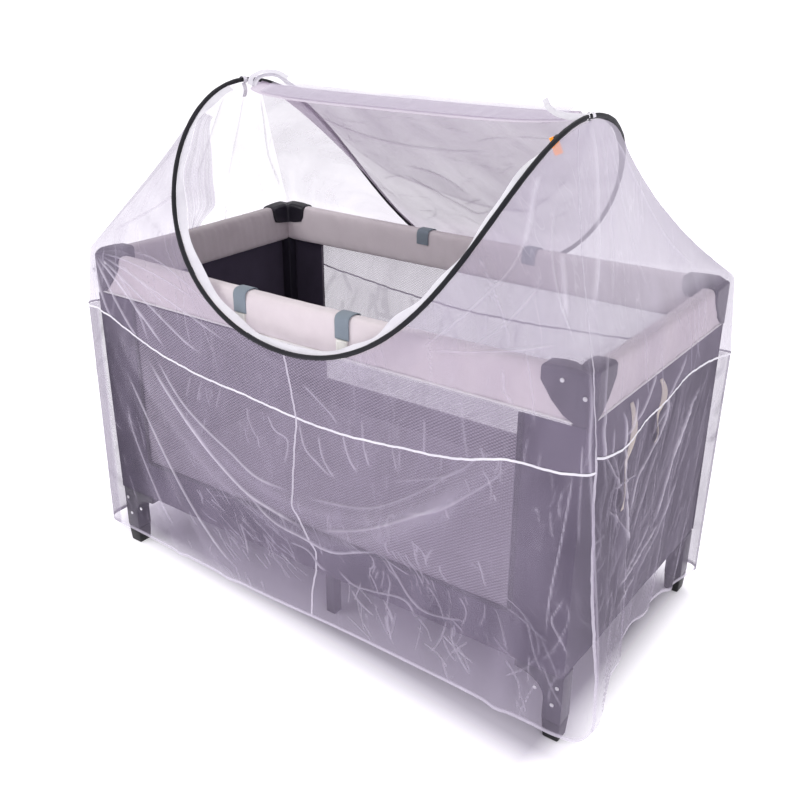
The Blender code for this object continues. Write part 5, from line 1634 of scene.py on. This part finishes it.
edge = ((-WINDOW_HALF, wall_top), (-WINDOW_HALF, BAND_TOP), (WINDOW_HALF, BAND_TOP), (WINDOW_HALF, wall_top))
for name, sign in (("front", -1), ("back", 1)):
    y = sign * (COT_WIDTH / 2 - BIND_IN)
    for i, (a, b) in enumerate(zip(edge, edge[1:])):
        low = [min(p, q) - BIND_WIDTH / 2 * (p == q) for p, q in zip(a, b)]
        high = [max(p, q) + BIND_WIDTH / 2 * (p == q) for p, q in zip(a, b)]
        middle = ((low[0] + high[0]) / 2, y, (low[1] + high[1]) / 2)
        made = box(f"window_binding_{name}_{i}", middle, (high[0] - low[0], BIND_THICK, high[1] - low[1]))
        round_edges(made, BIND_EDGE, 2)
        finished(made, EDGING, "dark_fabric")
print("bindings:", 2 * (len(edge) - 1))

# %% [markdown]
# The mattress is a thin folded pad. It is a rounded block with channels across it where it folds. Its
# two faces are grids, joined by a rim, so that the skin is closed and the pad can be filled.

# %% Mattress
PAD_CLEAR, PAD_ROUND, PAD_UNDER, PAD_GAP = 0.050, 0.009, 0.006, 0.0003
CHANNEL_DEEP, CHANNEL_WIDE = 0.004, 0.012
half_x, half_y = COT_LENGTH / 2 - PAD_CLEAR, COT_WIDTH / 2 - PAD_CLEAR
across, along = np.meshgrid(np.linspace(-1, 1, 161), np.linspace(-1, 1, 81), indexing="ij")
edge = np.minimum(smooth(0, 0.02, 1 - abs(across)), smooth(0, 0.04, 1 - abs(along)))
channels = sum(np.exp(-((across - at) / CHANNEL_WIDE) ** 2) for at in (-0.5, 0.0, 0.5))
top = MATTRESS_TOP - 0.0005 - PAD_ROUND * (1 - edge) - CHANNEL_DEEP * np.clip(channels, 0, 1) * edge
under = MATTRESS_TOP - MATTRESS_THICK + PAD_UNDER * (1 - edge) + PAD_GAP
upper_face = joined(across * half_x, along * half_y, top)
lower_face = joined(across * half_x, along * half_y, under)
pad = bmesh.new()
layers = [[[pad.verts.new(tuple(p)) for p in row] for row in face] for face in (upper_face, lower_face)]
for layer in layers:
    for a, b in zip(layer, layer[1:]):
        for i in range(len(a) - 1):
            pad.faces.new((a[i], b[i], b[i + 1], a[i + 1]))
rims = [[row[0] for row in layer] + layer[-1][1:] + [row[-1] for row in layer[-2::-1]] + layer[0][-2:0:-1]
        for layer in layers]
for i in range(len(rims[0])):
    j = (i + 1) % len(rims[0])
    pad.faces.new((rims[0][i], rims[0][j], rims[1][j], rims[1][i]))
bmesh.ops.recalc_face_normals(pad, faces=pad.faces)
mesh = bpy.data.meshes.new("mattress_pad")
pad.to_mesh(mesh)
pad.free()
mesh.shade_smooth()
mesh.materials.append(PAD_CLOTH)
mattress = add_object("mattress_pad", mesh)
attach(mattress, "root")
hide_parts("cot_mattress")
print("mattress faces:", len(mesh.polygons))

# %% [markdown]
# ## Straps, clips and loops
#
# Four grey straps fold over the long rails, and two of them end in an ivory clip. A strap is one
# grid along a rounded path over the rail, with a Solidify modifier for the webbing's thickness. A clip
# is a box with a sunk face: it is inset and pushed in, as a moulding has it, and its edges are eased.

# %% Straps and clips
STRAPS = (("front_left", -0.156, -1, True), ("front_right", 0.111, -1, True),
          ("back_left", -0.138, 1, False), ("back_right", 0.162, 1, False))
STRAP_WIDTH, STRAP_THICK, STRAP_OFF, STRAP_DROP = 0.034, 0.002, 0.0004, 0.046
CLIP_SIZE, CLIP_RIM, CLIP_SUNK, CLIP_EDGE = (0.026, 0.005, 0.028), 0.004, 0.0018, 0.0011


def webbing(made, thickness):
    """Gives a woven sheet its thickness, half to each side."""
    thick = made.modifiers.new("Webbing", "SOLIDIFY")
    thick.thickness = thickness
    thick.offset = 0


def add_clip(name, x, side, height):
    """A buckle half: a box with its outer face inset and sunk."""
    made = box("clip_" + name, (x + 0.001, side * (COT_WIDTH / 2 + 0.0030), height), CLIP_SIZE)
    bpy.ops.object.mode_set(mode="EDIT")
    bpy.ops.mesh.select_all(action="DESELECT")
    bpy.ops.object.mode_set(mode="OBJECT")
    for face in made.data.polygons:
        face.select = face.normal.y * side > 0.9
    bpy.ops.object.mode_set(mode="EDIT")
    bpy.ops.mesh.inset(thickness=CLIP_RIM)
    bpy.ops.mesh.extrude_region_move(TRANSFORM_OT_translate={"value": (0, -side * CLIP_SUNK, 0)})
    bpy.ops.object.mode_set(mode="OBJECT")
    round_edges(made, CLIP_EDGE)
    bpy.ops.object.shade_smooth_by_angle(angle=radians(40))
    finished(made, IVORY, "ivory_clip", "cot_clip_" + name)


for name, x, side, clip in STRAPS:
    top = RAIL_TOP - RAIL_SAG * (1 - (x / (COT_LENGTH / 2 - CAP_REACH)) ** 2)
    outer = COT_WIDTH / 2 + STRAP_OFF + STRAP_THICK / 2
    inner = COT_WIDTH / 2 - RAIL_THICK - STRAP_OFF - STRAP_THICK / 2
    crown, low = top + 0.0010 + STRAP_THICK / 2, top - STRAP_DROP
    route = rounded_path((
        (outer, low), (outer, low + 0.02), (outer, crown - 0.012), (outer - 0.0035, crown - 0.0035),
        (outer - 0.012, crown), (inner + 0.012, crown), (inner + 0.0035, crown - 0.0035),
        (inner, crown - 0.012), (inner, low + 0.02), (inner, low + 0.012)), 7)
    across = np.linspace(-1, 1, 11)[:, None]
    place = joined(x + across * STRAP_WIDTH / 2, side * route[:, 0], route[:, 1])
    made = sheet_piece("strap_" + name, "cot_strap_" + name, place, GREY_WEBBING)
    webbing(made, 0.0016)
    if clip:
        add_clip(name, x, side, low - 0.0145)

# %% [markdown]
# Two beige loops of webbing hang on the right end, to pull the cot open by. Each is a narrow ribbon
# that twists once on its way down, so it shows its face and its edge by turns. Its two ends lie flat
# on the panel, and its belly stands a few millimetres off.

# %% Webbing loops
LOOPS = (("front", -0.145, 0.655, 0.430), ("back", -0.010, 0.655, 0.520))
LOOP_HALF, LOOP_OFF, LOOP_BELLY, LOOP_SWAY, LOOP_TWIST = 0.006, 0.0012, 0.004, 0.010, 0.9
for name, y, top, bottom in LOOPS:
    across = np.linspace(-1, 1, 7)[:, None] + np.zeros(90)
    t = np.linspace(0, 1, 90)[None] + 0 * across
    twist = LOOP_TWIST * np.sin(2 * pi * t)
    out = LOOP_BELLY * np.sin(pi * t) + abs(np.sin(twist)) * 0.005
    line = joined(COT_LENGTH / 2 - 0.0045 + LOOP_OFF + out, y + LOOP_SWAY * np.sin(2.4 * pi * t),
                  top + (bottom - top) * t)
    lead = unit(joined(np.sin(twist) * 0.6, np.cos(twist), 0 * t))
    place = line + lead * (across * LOOP_HALF)[..., None]
    made = sheet_piece("webbing_loop_" + name, "cot_loop_" + name, place, BEIGE_WEBBING)
    webbing(made, 0.0012)

# %% [markdown]
# ## Measure
#
# Cloth may stand a little proud of the solids, but the dressed cot must keep their size, so its box
# is measured.

# %% Measure and finish
bpy.ops.object.select_all(action="DESELECT")
low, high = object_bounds()
